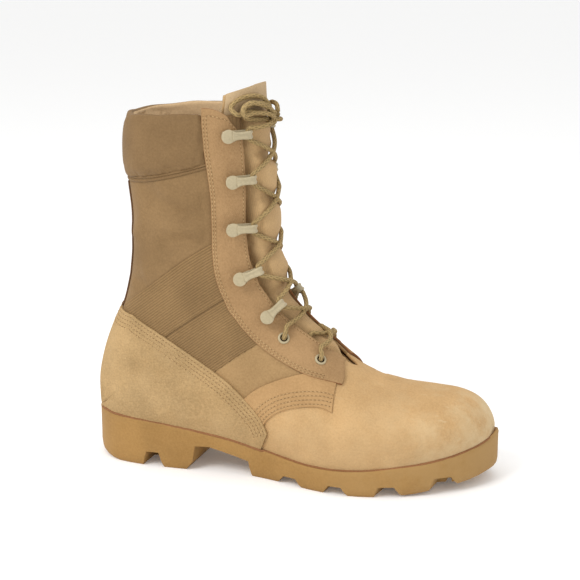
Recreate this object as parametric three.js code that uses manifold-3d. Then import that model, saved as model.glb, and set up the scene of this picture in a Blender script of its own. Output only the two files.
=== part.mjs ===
// Combat boot, right foot: ten inch shaft, suede and nylon upper, lugged rubber sole.
// Millimetres, +Z up, toe towards +X, lateral side towards -Y, sole on z = 0.
import * as THREE from "three";
import { mergeVertices } from "three/addons/utils/BufferGeometryUtils.js";
import Module from "manifold-3d";

const wasm = await Module();
wasm.setup();

// ---------------------------------------------------------------- driving dimensions
const CENTRE = { x: 154, y: -0.9 };       // middle of the boot, measured from the heel's back
const GAP = 0.35;                        // air between curved neighbours
const AIR = 0.5;                         // air under the leather overlays
const WALL = 2.2;                        // upper: suede or nylon with its lining
const OVERLAY = 1.7;                     // leather laid over the upper
const COLLAR = { pad: 2.6, rise: 3.0, inside: 14, seamFront: 22.35, seamBack: 23.3 };
const TOP_ROW = 25;                      // section at the collar's top
const THROAT_END = 7.9;                  // section where the throat starts
const HEEL_ROW = 15;                     // section that meets the bottom of the back seam
const FACING = { width: 29, startEdge: 8.5, startRear: 8.0 };
const INSOLE = 4.5;
const TONGUE = { thick: 4.0, from: 7.3, to: 25.9, clear: 0.85, fall: 0.22 };
const HOOK = { width: 5.2, base: 7.4, reach: 18.2, plate: 1.0, open: 4.7, head: 9.4, inset: 12.5, insetFar: 15.5 };
const EYELET = { outer: 8.8, bore: 5.4, flange: 1.0, inset: 14.5 };
const LACE = 3.9;
const TUBE_SIDES = 6;

// Knot and loops, measured from the middle of the knot.
const KNOT = { half: [5.2, 4.6, 5.6], middle: [2.4, 0, 0.6] };
const LOOP_INNER = [[5, -2, 1], [4, -12, 4.6], [-3.2, -25, 6.6], [-7.5, -32, 5.4], [-8, -33, 10.6],
  [-4.5, -28, 14], [1.5, -15, 11], [5, -2, 4.5]];
const LOOP_LATERAL = [[1.8, -3, 8.6], [-1.2, -9, 15.5], [-7.1, -19, 17.9], [-14.5, -26, 15.5],
  [-18.5, -30, 10.2], [-13.3, -31, 5.8], [-7, -20, 6.8], [-1.8, -11.5, 5], [0.2, -8.4, 4.4]];
const LOOP_MEDIAL = [[4.6, 6.4, 5.4], [2.2, 11, 13], [-3.6, 17, 16.5], [-7.5, 22.5, 13.5], [-6, 20, 9.2],
  [3.6, 10.8, 5]];

const LEATHER = 0xc9a878;
const NYLON = 0x9a8256;
const RUBBER = 0xb08a4a;
const CORD = 0x7d6a3c;
const PAINT = 0xb9b08a;

function rows(columns, table) {
  return table.map((line) => Object.fromEntries(columns.map((name, i) => [name, line[i]])));
}

// Upper: one row for each section, from the toe's tip round the instep to the collar.
// front x, y, z: where the section crosses the ridge or the shin.
// lat x, y and med x, y: where it meets the sole, or the back seam (y = 0), at height z.
// widthLat, widthMed: greatest half width. peak: where that lies along the section.
// square, rear: front and rear fullness, under 1 is fuller than an ellipse. turn: how far the lower edge tucks in, degrees.
// gap: half width of the throat. puff: how far the tongue stands out of the throat.
const UPPER = rows(
  ["fx", "fy", "fz", "lx", "ly", "mx", "my", "ez",
    "widthLat", "widthMed", "peak", "square", "rear", "turn", "gap", "puff"],
  [
    [304.6, 13.5, 33, 304.6, 13.5, 304.6, 13.5, 33, -13.5, 13.5, 0.6, 0.85, 1, 60, 0, 0],
    [303.3, 12.8, 43, 301, 0.5, 301.5, 27, 30, 0.8, 28.2, 0.6, 0.85, 1, 60, 0, 0],
    [298.3, 12, 53, 293, -10.5, 294.5, 35.8, 27, 12.5, 37.8, 0.6, 0.86, 1, 60, 0, 0],
    [289.5, 11, 61, 281, -23, 284, 43.3, 24, 25.6, 45.8, 0.62, 0.87, 1, 60, 0, 0],
    [276, 9, 66.3, 264, -35, 268, 48.6, 20.5, 37.8, 51.2, 0.64, 0.9, 1, 60, 0, 0],
    [258, 7, 68.4, 243, -44.5, 247, 50.2, 17.5, 47.3, 53, 0.66, 0.92, 1, 60, 0, 0],
    [238, 5, 70.6, 222, -50.5, 226, 49, 15, 53, 51.8, 0.66, 0.94, 1, 60, 0, 0],
    [219, 3.5, 75.3, 200, -51.5, 203, 45.5, 13.5, 53.8, 48.5, 0.64, 0.95, 1, 60, 0, 0],
    [202.5, 2, 83, 178, -47.5, 180, 39, 13.5, 50, 43, 0.6, 0.95, 1, 60, 4, 0],
    [184, 1, 97.5, 152, -39.5, 154, 31.5, 16.5, 43.5, 37.5, 0.52, 0.93, 1, 60, 12.5, 2],
    [167, 0, 111.5, 122, -34, 124, 27.8, 21.5, 40, 37, 0.46, 0.9, 1, 60, 16, 1.5],
    [154.5, 0, 123.5, 90, -35.3, 90, 30.6, 26.5, 39.5, 38.3, 0.42, 0.88, 1, 58, 18.5, 1.5],
    [147.5, 0, 134, 58, -36.4, 58, 34.4, 29, 39.3, 39, 0.4, 0.88, 1, 62, 20, 2.5],
    [143.5, 0, 142.5, 30, -34, 30, 33.8, 31.5, 38.9, 38.9, 0.4, 0.88, 0.9, 80, 20.5, 4],
    [141, 0, 149, 11.5, -24, 11.5, 24, 33, 38.3, 38.3, 0.41, 0.88, 0.72, 86.5, 21, 5],
    [139.5, 0, 155, 5, 0, 5, 0, 34, 37.7, 37.7, 0.42, 0.89, 0.46, 90, 21, 5.5],
    [137.5, 0, 164, 3, 0, 3, 0, 56, 37.2, 37.2, 0.44, 0.9, 0.52, 90, 21.5, 6],
    [136, 0, 175, 6.4, 0, 6.4, 0, 78, 36.8, 36.8, 0.46, 0.91, 0.6, 90, 22, 5],
    [134.5, 0, 188, 13.6, 0, 13.6, 0, 100, 36.5, 36.5, 0.47, 0.92, 0.7, 90, 22, 6],
    [133.5, 0, 202, 22.3, 0, 22.3, 0, 120, 36.6, 36.6, 0.48, 0.93, 0.8, 90, 22, 6],
    [132.8, 0, 216.5, 27.5, 0, 27.5, 0, 142, 37.4, 37.4, 0.49, 0.93, 0.87, 90, 22, 4],
    [132, 0, 230, 30, 0, 30, 0, 166, 38.4, 38.4, 0.5, 0.93, 0.92, 90, 22, 3.5],
    [131, 0, 243, 30, 0, 30, 0, 191, 39.4, 39.4, 0.5, 0.93, 0.93, 90, 22.5, 3.5],
    [130.2, 0, 254, 27.5, 0, 27.5, 0, 215, 40.3, 40.3, 0.5, 0.93, 0.93, 90, 23, 3],
    [129.5, 0, 262, 27, 0, 27, 0, 238, 41, 41, 0.5, 0.93, 0.93, 90, 23, 2.5],
    [129, 0, 268.5, 28.5, 0, 28.5, 0, 263, 41.5, 41.5, 0.5, 0.93, 0.93, 90, 23, 2],
    [128.5, 0, 291, 30, 0, 30, 0, 288, 42, 42, 0.5, 0.93, 0.93, 90, 23, 1.5],
  ],
);

// Sole: outline from heel to toe, height of its top edge and of its tread.
const SOLE = rows(
  ["x", "lat", "med", "rim", "tread"],
  [
    [0, 0, 0, 39, 6],
    [1.5, -12, 12, 39, 5],
    [5, -20.5, 20.5, 38.8, 3.6],
    [12, -29, 29, 38.4, 1.6],
    [25, -36.5, 36.5, 37.4, 0],
    [45, -40, 39, 35.8, 0],
    [65, -40.5, 38, 34.2, 0],
    [85, -39.5, 34.5, 32.2, 0],
    [110, -37.5, 31, 28.6, 0],
    [135, -38.5, 32, 23.6, 0],
    [160, -45, 37, 19.6, 0],
    [180, -51.5, 43, 18, 0],
    [200, -55.5, 49, 18, 0],
    [220, -55, 53, 19.2, 0],
    [240, -49.5, 54, 21.4, 0],
    [260, -41, 53, 24, 2],
    [280, -28, 48, 27.4, 5],
    [295, -13, 39.5, 31.2, 7.4],
    [303, 0, 30.5, 35, 9.4],
    [307, 9, 20.5, 38, 10.6],
    [308, 14, 14, 39, 11],
  ],
);

// Channels between the lugs: span on the ground and at the roof, roof height, slant.
const CHANNELS = rows(
  ["x0", "x1", "top0", "top1", "roof", "slant"],
  [
    [46.5, 64, 50, 60, 11.5, 0],
    [152, 172.5, 157.5, 168, 6.2, 6],
    [190, 209, 194.5, 204.5, 6.4, 8],
    [227, 246, 230.5, 241, 8, 8],
    [262, 283, 267, 277, 12.8, 6],
  ],
);
const SPINE = { half: 15, depth: 3.2, width: 6 };   // middle of the tread, with shallow grooves
const ARCH = [[80, -2], [81.5, 0], [87, 7.2], [89, 19.4], [100, 19.6], [115, 15.8],
  [131, 11.8], [133.5, 1.4], [134.5, -2]];

// Heel counter: its upper edge seen from the side.
const COUNTER_TOP = rows(["x", "z"], [
  [-10, 124], [18, 117], [39, 115.5], [61, 104.8], [83, 93], [104, 80.8], [117, 72],
  [129, 61], [138, 52], [143, 46], [146, 40], [150, 30],
]);

// Heights of the hooks and eyelets up each facing.
const HOOK_Z = [254, 221, 186, 148.5, 119.5];
const EYELET_Z = [106, 90.5];

// ---------------------------------------------------------------- curves
function catmull(a, b, c, d, t) {
  const t2 = t * t;
  const t3 = t2 * t;
  return 0.5 * (2 * b + (c - a) * t + (2 * a - 5 * b + 4 * c - d) * t2
    + (3 * b - a - 3 * c + d) * t3);
}

function blendRows(table, s, mirrored = {}) {
  const last = table.length - 1;
  const i = Math.min(last - 1, Math.max(0, Math.floor(s)));
  const reach = (k, key) => {
    if (k < 0) return 2 * table[0][key] - table[1][key];
    if (k > last) return 2 * table[last][key] - table[last - 1][key];
    return table[k][key];
  };
  const out = {};
  for (const key of Object.keys(table[0])) {
    let before = reach(i - 1, key);
    let after = reach(i + 2, key);
    if (mirrored.row !== undefined && mirrored.keys.includes(key)) {
      if (i + 1 === mirrored.row) after = mirrored.sign[key] * table[i][key];
      if (i === mirrored.row) before = 2 * table[i][key] - table[i + 1][key];
    }
    out[key] = catmull(before, table[i][key], table[i + 1][key], after, s - i);
  }
  return out;
}

function lookUp(table, key, x, from = "x") {
  const last = table.length - 1;
  let i = 0;
  while (i < last - 1 && table[i + 1][from] < x) i += 1;
  const a = table[i];
  const b = table[i + 1];
  const t = Math.min(1, Math.max(0, (x - a[from]) / (b[from] - a[from])));
  return a[key] + (b[key] - a[key]) * t;
}

function bisect(f, low, high) {
  let a = low;
  let b = high;
  const start = f(a);
  for (let i = 0; i < 40; i += 1) {
    const m = (a + b) / 2;
    if ((f(m) > 0) === (start > 0)) a = m;
    else b = m;
  }
  return (a + b) / 2;
}

const mix = (a, b, t) => a + (b - a) * t;
function smooth(t) {
  const c = Math.min(1, Math.max(0, t));
  return c * c * (3 - 2 * c);
}

// ---------------------------------------------------------------- the upper's own function
const HEEL_MIRROR = {
  row: HEEL_ROW,
  keys: ["lx", "ly", "mx", "my", "ez"],
  sign: { lx: 1, ly: -1, mx: 1, my: -1, ez: 1 },
};
const SECTION_STEPS = 64;
const HEEL_BLEND = { reach: 0.9, span: 1.9, samples: 9 };   // sections averaged round the heel's corner

// One half of the section at s, side -1 lateral or +1 medial, from the front to the sole.
class Section {
  constructor(side, s, raw = false) {
    const row = blendRows(UPPER, s, HEEL_MIRROR);
    const end = side < 0
      ? new THREE.Vector3(row.lx, row.ly, row.ez)
      : new THREE.Vector3(row.mx, row.my, row.ez);
    const front = new THREE.Vector3(row.fx, row.fy, row.fz);
    const run = new THREE.Vector3(end.x - front.x, 0, end.z - front.z);
    const width = side < 0 ? -row.widthLat : row.widthMed;
    const turn = THREE.MathUtils.degToRad(row.turn);
    this.row = row;
    this.points = [];
    const away = Math.min(1, Math.abs(s - HEEL_ROW) / HEEL_BLEND.span);
    if (!raw && away < 1) {
      const reach = HEEL_BLEND.reach * (1 - smooth(away));
      const offsets = Array.from({ length: HEEL_BLEND.samples }, (_, k) => (
        reach * ((2 * k) / (HEEL_BLEND.samples - 1) - 1)));
      const near = offsets.map((offset) => new Section(side, s + offset, true).points);
      for (let i = 0; i <= SECTION_STEPS; i += 1) {
        const sum = near.reduce((a, points) => a.add(points[i]), new THREE.Vector3());
        this.points.push(sum.divideScalar(near.length));
      }
      if (s >= HEEL_ROW) this.points[SECTION_STEPS].y = 0;
      this.measure();
      return;
    }
    for (let i = 0; i <= SECTION_STEPS; i += 1) {
      const u = (2 * i) / SECTION_STEPS;
      let along;
      let y;
      if (u <= 1) {
        const angle = (u * Math.PI) / 2;
        along = row.peak * (1 - Math.cos(angle) ** row.square);
        y = front.y + (width - front.y) * Math.sin(angle) ** row.square;
      } else {
        const angle = (u - 1) * turn;
        const fall = (Math.cos(angle) - Math.cos(turn)) / (1 - Math.cos(turn));
        along = row.peak + (1 - row.peak) * (Math.sin(angle) / Math.sin(turn));
        y = end.y + (width - end.y) * Math.max(0, fall) ** row.rear;
      }
      const point = front.clone().addScaledVector(run, along);
      point.y = y;
      this.points.push(point);
    }
    this.measure();
  }

  measure() {
    this.lengths = [0];
    for (let i = 1; i <= SECTION_STEPS; i += 1) {
      const step = this.points[i].distanceTo(this.points[i - 1]);
      this.lengths.push(this.lengths[i - 1] + step);
    }
    this.length = this.lengths[SECTION_STEPS];
  }

  // Point at a distance in mm from the ridge.
  at(distance) {
    const d = Math.min(this.length, Math.max(0, distance));
    let i = 1;
    while (i < SECTION_STEPS && this.lengths[i] < d) i += 1;
    const span = this.lengths[i] - this.lengths[i - 1];
    const t = span > 1e-9 ? (d - this.lengths[i - 1]) / span : 0;
    return this.points[i - 1].clone().lerp(this.points[i], t);
  }

  // Distance in mm from the ridge to the throat's edge.
  throat() {
    const half = this.row.gap;
    if (half <= 0.01) return 0;
    return bisect((d) => half - Math.abs(this.at(d).y - this.row.fy), 0, this.length / 2);
  }
}

// Point on the upper with its own outward normal.
function onUpper(side, s, distance) {
  const here = section(side, s);
  const n = normalAt(side, s, Math.min(here.length - 0.8, Math.max(0.8, distance)));
  if (s >= HEEL_ROW && distance > here.length - 0.01) n.y = 0;
  return { p: here.at(distance), n: n.normalize() };
}

const cache = new Map();
function section(side, s) {
  const key = `${side}:${s.toFixed(5)}`;
  if (!cache.has(key)) cache.set(key, new Section(side, s));
  return cache.get(key);
}

// Outward normal of the upper, from neighbouring sections.
function normalAt(side, s, distance) {
  const here = section(side, s);
  const share = distance / here.length;
  const low = section(side, Math.max(0.05, s - 0.12));
  const high = section(side, Math.min(UPPER.length - 1, s + 0.12));
  const along = high.at(share * high.length).sub(low.at(share * low.length));
  const across = here.at(distance + 0.8).sub(here.at(distance - 0.8));
  return along.cross(across).multiplyScalar(-side).normalize();
}

function throatEdge(side, s) {
  return s > THROAT_END ? section(side, s).throat() : 0;
}

// ---------------------------------------------------------------- surfaces and solids
class Surface {
  constructor() {
    this.points = [];
    this.given = [];
    this.faces = [];
    this.names = new Map();
  }

  point(item) {
    const p = item.p ?? item;
    const key = [p.x, p.y, p.z].map((v) => Math.round(v * 500)).join(",");
    if (!this.names.has(key)) {
      this.names.set(key, this.points.length);
      this.points.push(p.clone());
      this.given.push(item.n ?? null);
    }
    return this.names.get(key);
  }

  face(a, b, c) {
    if (a !== b && b !== c && a !== c) this.faces.push([a, b, c]);
  }

  quad(a, b, c, d) {
    const ac = this.points[a].distanceTo(this.points[c]);
    const bd = this.points[b].distanceTo(this.points[d]);
    if (ac <= bd) {
      this.face(a, b, c);
      this.face(a, c, d);
    } else {
      this.face(a, b, d);
      this.face(b, c, d);
    }
  }

  // Rows of points; flip turns the faces round.
  grid(lines, flip = false) {
    const ids = lines.map((line) => line.map((p) => this.point(p)));
    for (let i = 0; i + 1 < ids.length; i += 1) {
      for (let j = 0; j + 1 < ids[i].length; j += 1) {
        const a = ids[i][j];
        const b = ids[i + 1][j];
        const c = ids[i + 1][j + 1];
        const d = ids[i][j + 1];
        if (flip) this.quad(d, c, b, a);
        else this.quad(a, b, c, d);
      }
    }
    return this;
  }

  normals() {
    const sums = this.points.map(() => new THREE.Vector3());
    for (const [a, b, c] of this.faces) {
      const n = this.points[b].clone().sub(this.points[a])
        .cross(this.points[c].clone().sub(this.points[a])).normalize();
      for (const id of [a, b, c]) sums[id].add(n);
    }
    return sums.map((n, i) => this.given[i] ?? n.normalize());
  }

  moved(distance) {
    const normals = this.normals();
    return this.points.map((p, i) => p.clone().addScaledVector(normals[i], distance));
  }

  // A closed surface, moved out or in.
  closed(distance = 0) {
    return solid(this.moved(distance), this.faces);
  }

  // An open surface given a wall between two distances from it.
  shell(inner, outer) {
    const count = this.points.length;
    const points = [...this.moved(outer), ...this.moved(inner)];
    const faces = this.faces.map((f) => [...f]);
    const edges = new Set(this.faces.flatMap(([a, b, c]) => [`${a},${b}`, `${b},${c}`, `${c},${a}`]));
    for (const [a, b, c] of this.faces) faces.push([c + count, b + count, a + count]);
    for (const [a, b, c] of this.faces) {
      for (const [p, q] of [[a, b], [b, c], [c, a]]) {
        if (!edges.has(`${q},${p}`)) {
          faces.push([q, p, p + count]);
          faces.push([q, p + count, q + count]);
        }
      }
    }
    return solid(points, faces);
  }
}

function solid(points, faces) {
  const vertProperties = new Float32Array(points.flatMap((p) => [p.x, p.y, p.z]));
  const triVerts = new Uint32Array(faces.flat());
  const mesh = new wasm.Mesh({ numProp: 3, vertProperties, triVerts });
  return new wasm.Manifold(mesh);
}

function fromGeometry(geometry, matrix) {
  const bare = geometry.clone();
  if (matrix) bare.applyMatrix4(matrix);
  bare.deleteAttribute("normal");
  bare.deleteAttribute("uv");
  const merged = mergeVertices(bare, 1e-3);
  return new wasm.Manifold(new wasm.Mesh({
    numProp: 3,
    vertProperties: new Float32Array(merged.attributes.position.array),
    triVerts: new Uint32Array(merged.index.array),
  }));
}

function toGeometry(manifold) {
  const mesh = manifold.getMesh();
  const geometry = new THREE.BufferGeometry();
  const positions = new Float32Array((mesh.vertProperties.length / mesh.numProp) * 3);
  for (let i = 0; i < positions.length / 3; i += 1) {
    for (let k = 0; k < 3; k += 1) positions[3 * i + k] = mesh.vertProperties[i * mesh.numProp + k];
  }
  geometry.setAttribute("position", new THREE.BufferAttribute(positions, 3));
  geometry.setIndex(new THREE.BufferAttribute(new Uint32Array(mesh.triVerts), 1));
  geometry.computeVertexNormals();
  return geometry;
}

const boot = new THREE.Group();
boot.position.set(-CENTRE.x, -CENTRE.y, 0);

function add(name, source, colour, roughness = 0.9, metalness = 0) {
  const geometry = source.isBufferGeometry ? source : toGeometry(source);
  const material = new THREE.MeshStandardMaterial({ color: colour, roughness, metalness });
  const mesh = new THREE.Mesh(geometry, material);
  mesh.name = name;
  boot.add(mesh);
  return mesh;
}

// A profile in x and z, carried across from y0 to y1 with a slant along x.
function acrossPrism(profile, y0, y1, slant = 0) {
  const shape = new THREE.Shape(profile.map(([x, z]) => new THREE.Vector2(x, z)));
  const geometry = new THREE.ExtrudeGeometry(shape, { depth: 1, bevelEnabled: false, steps: 1 });
  const position = geometry.attributes.position;
  for (let i = 0; i < position.count; i += 1) {
    const t = position.getZ(i);
    position.setXYZ(i, position.getX(i) + slant * (t - 0), mix(y0, y1, t), position.getY(i));
  }
  const made = fromGeometry(geometry);
  if (made.volume() > 0) return made;
  const index = geometry.index ? geometry.index.array : null;
  if (!index) {
    for (let i = 0; i < position.count; i += 3) {
      const p = [1, 2].map((k) => new THREE.Vector3().fromBufferAttribute(position, i + k));
      position.setXYZ(i + 1, p[1].x, p[1].y, p[1].z);
      position.setXYZ(i + 2, p[0].x, p[0].y, p[0].z);
    }
  }
  return fromGeometry(geometry);
}

// ---------------------------------------------------------------- last form and upper
const LAST_STATIONS = [];
for (let s = 0; s <= TOP_ROW; s += s < 17 ? 0.5 : 1) LAST_STATIONS.push(s);

function halfLine(side, s, from, to, steps) {
  const line = [];
  const here = section(side, s);
  for (let j = 0; j <= steps; j += 1) {
    const v = j / steps - (0.3 * Math.sin((2 * Math.PI * j) / steps)) / (2 * Math.PI);
    line.push(here.at(mix(from, to, v)));
  }
  return line;
}

// The closed form of the foot and leg inside the boot, moved out or in.
function lastForm(distance) {
  const skin = new Surface();
  const steps = 10;
  for (const side of [-1, 1]) {
    const lines = LAST_STATIONS.map((s) => halfLine(side, s, 0, section(side, s).length, steps));
    skin.grid(lines, side > 0);
  }
  const below = LAST_STATIONS.filter((s) => s <= HEEL_ROW)
    .map((s) => [1, -1].map((side) => section(side, s).at(1e6)));
  skin.grid(below, true);
  const top = halfLine(1, TOP_ROW, 0, section(1, TOP_ROW).length, steps)
    .map((p, j) => [p, halfLine(-1, TOP_ROW, 0, section(-1, TOP_ROW).length, steps)[j]]);
  skin.grid(top);
  return skin.closed(distance);
}

function upperSkin() {
  const skin = new Surface();
  const steps = 11;
  const stations = [...LAST_STATIONS.filter((s) => Math.abs(s - 8) > 0.01), THROAT_END, 8.1, 8.25]
    .sort((a, b) => a - b);
  for (const side of [-1, 1]) {
    const lines = stations.map((s) => halfLine(side, s, throatEdge(side, s), section(side, s).length, steps));
    skin.grid(lines, side > 0);
  }
  return skin;
}

// ---------------------------------------------------------------- sole
function soleLine(side, inset, height, perRow = 2) {
  const key = side < 0 ? "lat" : "med";
  const other = side < 0 ? "med" : "lat";
  const last = SOLE.length - 1;
  const line = [];
  for (let k = 0; k <= last * perRow; k += 1) {
    const u = k / perRow;
    const i = Math.min(last - 1, Math.floor(u));
    const at = (n, name) => {
      if (n < 0) return SOLE[1][name === key ? other : name];
      if (n > last) return SOLE[last - 1][name === key ? other : name];
      return SOLE[n][name];
    };
    const pick = (name, t) => catmull(at(i - 1, name), at(i, name), at(i + 1, name), at(i + 2, name), t);
    const t = u - i;
    const x = pick("x", t);
    const y = pick(key, t);
    const dx = pick("x", t + 1e-3) - pick("x", t - 1e-3);
    const dy = pick(key, t + 1e-3) - pick(key, t - 1e-3);
    const n = Math.hypot(dx, dy);
    const row = { x, rim: pick("rim", t), tread: SOLE[i].tread + (SOLE[i + 1].tread - SOLE[i].tread) * t };
    const ends = k === 0 || k === last * perRow;
    line.push(new THREE.Vector3(
      x + (side < 0 ? -dy : dy) / n * inset,
      ends ? y : y + (side < 0 ? dx : -dx) / n * inset,
      height(row),
    ));
  }
  return line;
}

const SOLE_RINGS = [
  [2.4, (r) => r.tread],
  [0.9, (r) => r.tread + 2.2],
  [0.3, (r) => r.tread + 6],
  [0.2, (r) => r.rim - 4],
  [0, (r) => r.rim - 2],
  [0.7, (r) => r.rim],
];

function makeSole() {
  const skin = new Surface();
  for (const side of [-1, 1]) {
    const lines = SOLE_RINGS.map(([inset, height]) => soleLine(side, inset, height));
    skin.grid(lines, side < 0);
  }
  const cap = (ring, flip) => {
    const [inset, height] = SOLE_RINGS[ring];
    const lat = soleLine(-1, inset, height);
    const med = soleLine(1, inset, height);
    skin.grid(lat.map((p, i) => [p, med[i]]), flip);
  };
  cap(0, true);
  cap(SOLE_RINGS.length - 1, false);
  let sole = skin.closed(0);
  sole = sole.subtract(acrossPrism(ARCH, -80, 80));
  for (const c of CHANNELS) {
    const profile = [[c.x0, -2], [c.x0, 0], [c.top0, c.roof], [c.top1, c.roof], [c.x1, 0], [c.x1, -2]];
    sole = sole.subtract(acrossPrism(profile, -80, -SPINE.half, c.slant));
    sole = sole.subtract(acrossPrism(profile, 80, SPINE.half, c.slant));
    const middle = (c.top0 + c.top1) / 2 + c.slant;
    const low = lookUp(SOLE, "tread", middle) + SPINE.depth;
    const groove = [[middle - SPINE.width / 2, -2], [middle - SPINE.width / 2 + 1, low],
      [middle + SPINE.width / 2 - 1, low], [middle + SPINE.width / 2, -2]];
    sole = sole.subtract(acrossPrism(groove, -SPINE.half - 1, SPINE.half + 1));
  }
  return sole.subtract(lastForm(GAP + 0.2)).subtract(skinOfUpper.shell(-WALL, GAP));
}

function makeInsole() {
  const floor = UPPER.slice(0, HEEL_ROW + 1).map((r) => ({ x: r.lx, z: r.ez })).reverse();
  const skin = new Surface();
  const levels = [[10.4, 0.4], [9.4, 1.4], [9.4, INSOLE]];
  const lines = (side) => levels.map(([inset, up]) => (
    soleLine(side, inset, (row) => lookUp(floor, "z", row.x) + up, 1)));
  const lat = lines(-1);
  const med = lines(1);
  skin.grid(lat, true);
  skin.grid(med);
  skin.grid(lat[0].map((p, i) => [p, med[0][i]]), true);
  skin.grid(lat[2].map((p, i) => [p, med[2][i]]));
  return skin.closed(0);
}

// ---------------------------------------------------------------- tongue
const TONGUE_HALF = rows(["s", "half"], [
  [7, 10], [8, 17], [9, 23], [10.5, 28], [13, 31], [18, 34], [24, 38], [25.2, 39], [26, 37],
]);

function tonguePoint(side, s, distance) {
  const here = section(side, s);
  const p = here.at(distance);
  const n = normalAt(side, s, Math.max(distance, 0.9));
  if (distance < 0.01) n.y = 0;
  const half = here.row.gap;
  const show = smooth((half - 3 - Math.abs(p.y - here.row.fy)) / 8)
    * smooth((s - THROAT_END - 0.2) / 0.9);
  const under = -(WALL + TONGUE.clear);
  return p.addScaledVector(n.normalize(), mix(under, here.row.puff, show));
}

function makeTongue() {
  const skin = new Surface();
  const stations = [];
  for (let i = 0; i <= 20; i += 1) stations.push(mix(TONGUE.from, TONGUE.to, i / 20));
  for (const side of [-1, 1]) {
    const lines = stations.map((s) => {
      const half = lookUp(TONGUE_HALF, "half", s, "s");
      const fall = TONGUE.fall * smooth((s - 23.5) / 2.4);
      return Array.from({ length: 6 }, (_, j) => tonguePoint(side, s - fall * (j / 5) ** 2, (half * j) / 5));
    });
    skin.grid(lines, side > 0);
  }
  return skin.shell(-TONGUE.thick, 0);
}

// ---------------------------------------------------------------- overlays
function makeFacing(side) {
  const skin = new Surface();
  const lines = [];
  const starts = [(v) => mix(FACING.startEdge, FACING.startRear, smooth(v)), (v) => mix(8.8, 8.5, v)];
  const stations = LAST_STATIONS.filter((s) => s > 8.9).map((s) => () => s);
  for (const stationAt of [...starts, ...stations]) {
    const line = [];
    for (let j = 0; j <= 4; j += 1) {
      const v = j / 4;
      const s = stationAt(v);
      line.push(onUpper(side, s, throatEdge(side, s) + 0.3 + v * FACING.width));
    }
    lines.push(line);
  }
  skin.grid(lines, side > 0);
  return skin.shell(AIR, AIR + OVERLAY);
}

// The counter: the upper's skin moved outwards, trimmed by its side view.
function makeCounter() {
  const edge = COUNTER_TOP.map((r) => [r.x, r.z]);
  const side = acrossPrism([...edge, [136, 22], [30, 22], [-30, 22]], -90, 90);
  const rim = SOLE.map((r) => [r.x, r.rim + 0.5]).filter(([x]) => x > 0);
  const below = acrossPrism([[-40, 0], [-40, SOLE[0].rim + 0.5], ...rim, [320, 0]], -90, 90);
  return skinOfUpper.shell(AIR, AIR + OVERLAY).intersect(side).subtract(below);
}

// Padded band: up the outside, over the top edge and a little way down the inside.
function makeCollar() {
  const loops = [];
  const around = [];
  for (let i = 0; i <= 11; i += 1) around.push([-1, i / 11]);
  for (let i = 10; i >= 0; i -= 1) around.push([1, i / 11]);
  for (const [side, v] of around) {
    const at = (s) => {
      const here = section(side, s);
      const start = throatEdge(side, s) + FACING.width + 1.2;
      const d = mix(start, here.length, v);
      const n = normalAt(side, s, d);
      if (v === 1) n.y = 0;
      return { p: here.at(d), n: n.normalize() };
    };
    const seam = mix(COLLAR.seamFront, COLLAR.seamBack, v);
    const top = at(TOP_ROW);
    const rise = top.p.clone().sub(at(TOP_ROW - 0.3).p).normalize();
    const inner = -(WALL + GAP + 0.25);
    const out = GAP + 0.25;
    const lift = (base, off, up) => base.p.clone().addScaledVector(base.n, off).addScaledVector(rise, up);
    const drop = at(TOP_ROW - (COLLAR.inside / 25));
    loops.push([
      lift(at(seam), out, 0),
      lift(at(seam), out + COLLAR.pad * 0.55, 0.6),
      lift(at(mix(seam, TOP_ROW, 0.25)), out + COLLAR.pad, 0),
      lift(at(mix(seam, TOP_ROW, 0.6)), out + COLLAR.pad, 0),
      lift(top, out + COLLAR.pad * 0.85, 0),
      lift(top, out - 0.4, COLLAR.rise),
      lift(top, inner + 0.4, COLLAR.rise),
      lift(top, inner - COLLAR.pad * 0.7, 0),
      lift(drop, inner - COLLAR.pad * 0.7, 0),
      lift(drop, inner, 0),
      lift(top, inner, GAP),
      lift(top, out, GAP),
      lift(at(mix(seam, TOP_ROW, 0.6)), out, 0),
      lift(at(mix(seam, TOP_ROW, 0.25)), out, 0),
    ]);
  }
  return solidFromLoops(loops);
}

// Loops of equal length joined in order and closed at both ends.
function solidFromLoops(loops) {
  const points = loops.flat();
  const n = loops[0].length;
  const faces = [];
  for (let i = 0; i + 1 < loops.length; i += 1) {
    for (let j = 0; j < n; j += 1) {
      const k = (j + 1) % n;
      faces.push([i * n + j, (i + 1) * n + j, (i + 1) * n + k]);
      faces.push([i * n + j, (i + 1) * n + k, i * n + k]);
    }
  }
  const flat = loops[0].map((p, j) => new THREE.Vector2(j, 0));
  for (const [end, flip] of [[0, false], [loops.length - 1, true]]) {
    const loop = loops[end];
    const centre = loop.reduce((a, p) => a.clone().add(p), new THREE.Vector3()).divideScalar(n);
    const u = loop[3].clone().sub(loop[12]).normalize();
    const w = loop[2].clone().sub(loop[4]);
    w.addScaledVector(u, -w.dot(u)).normalize();
    flat.forEach((q, j) => q.set(loop[j].clone().sub(centre).dot(u), loop[j].clone().sub(centre).dot(w)));
    for (const [a, b, c] of THREE.ShapeUtils.triangulateShape(flat, [])) {
      const area = (flat[b].x - flat[a].x) * (flat[c].y - flat[a].y)
        - (flat[c].x - flat[a].x) * (flat[b].y - flat[a].y);
      const turn = (area > 0) === loopTurnsLeft(flat);
      const tri = turn ? [a, b, c] : [a, c, b];
      if (flip) tri.reverse();
      faces.push(tri.map((id) => id + end * n));
    }
  }
  let made = solid(points, faces);
  if (made.volume() < 0) made = solid(points, faces.map(([a, b, c]) => [c, b, a]));
  return made;
}

function loopTurnsLeft(flat) {
  return THREE.ShapeUtils.area(flat) > 0;
}

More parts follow.
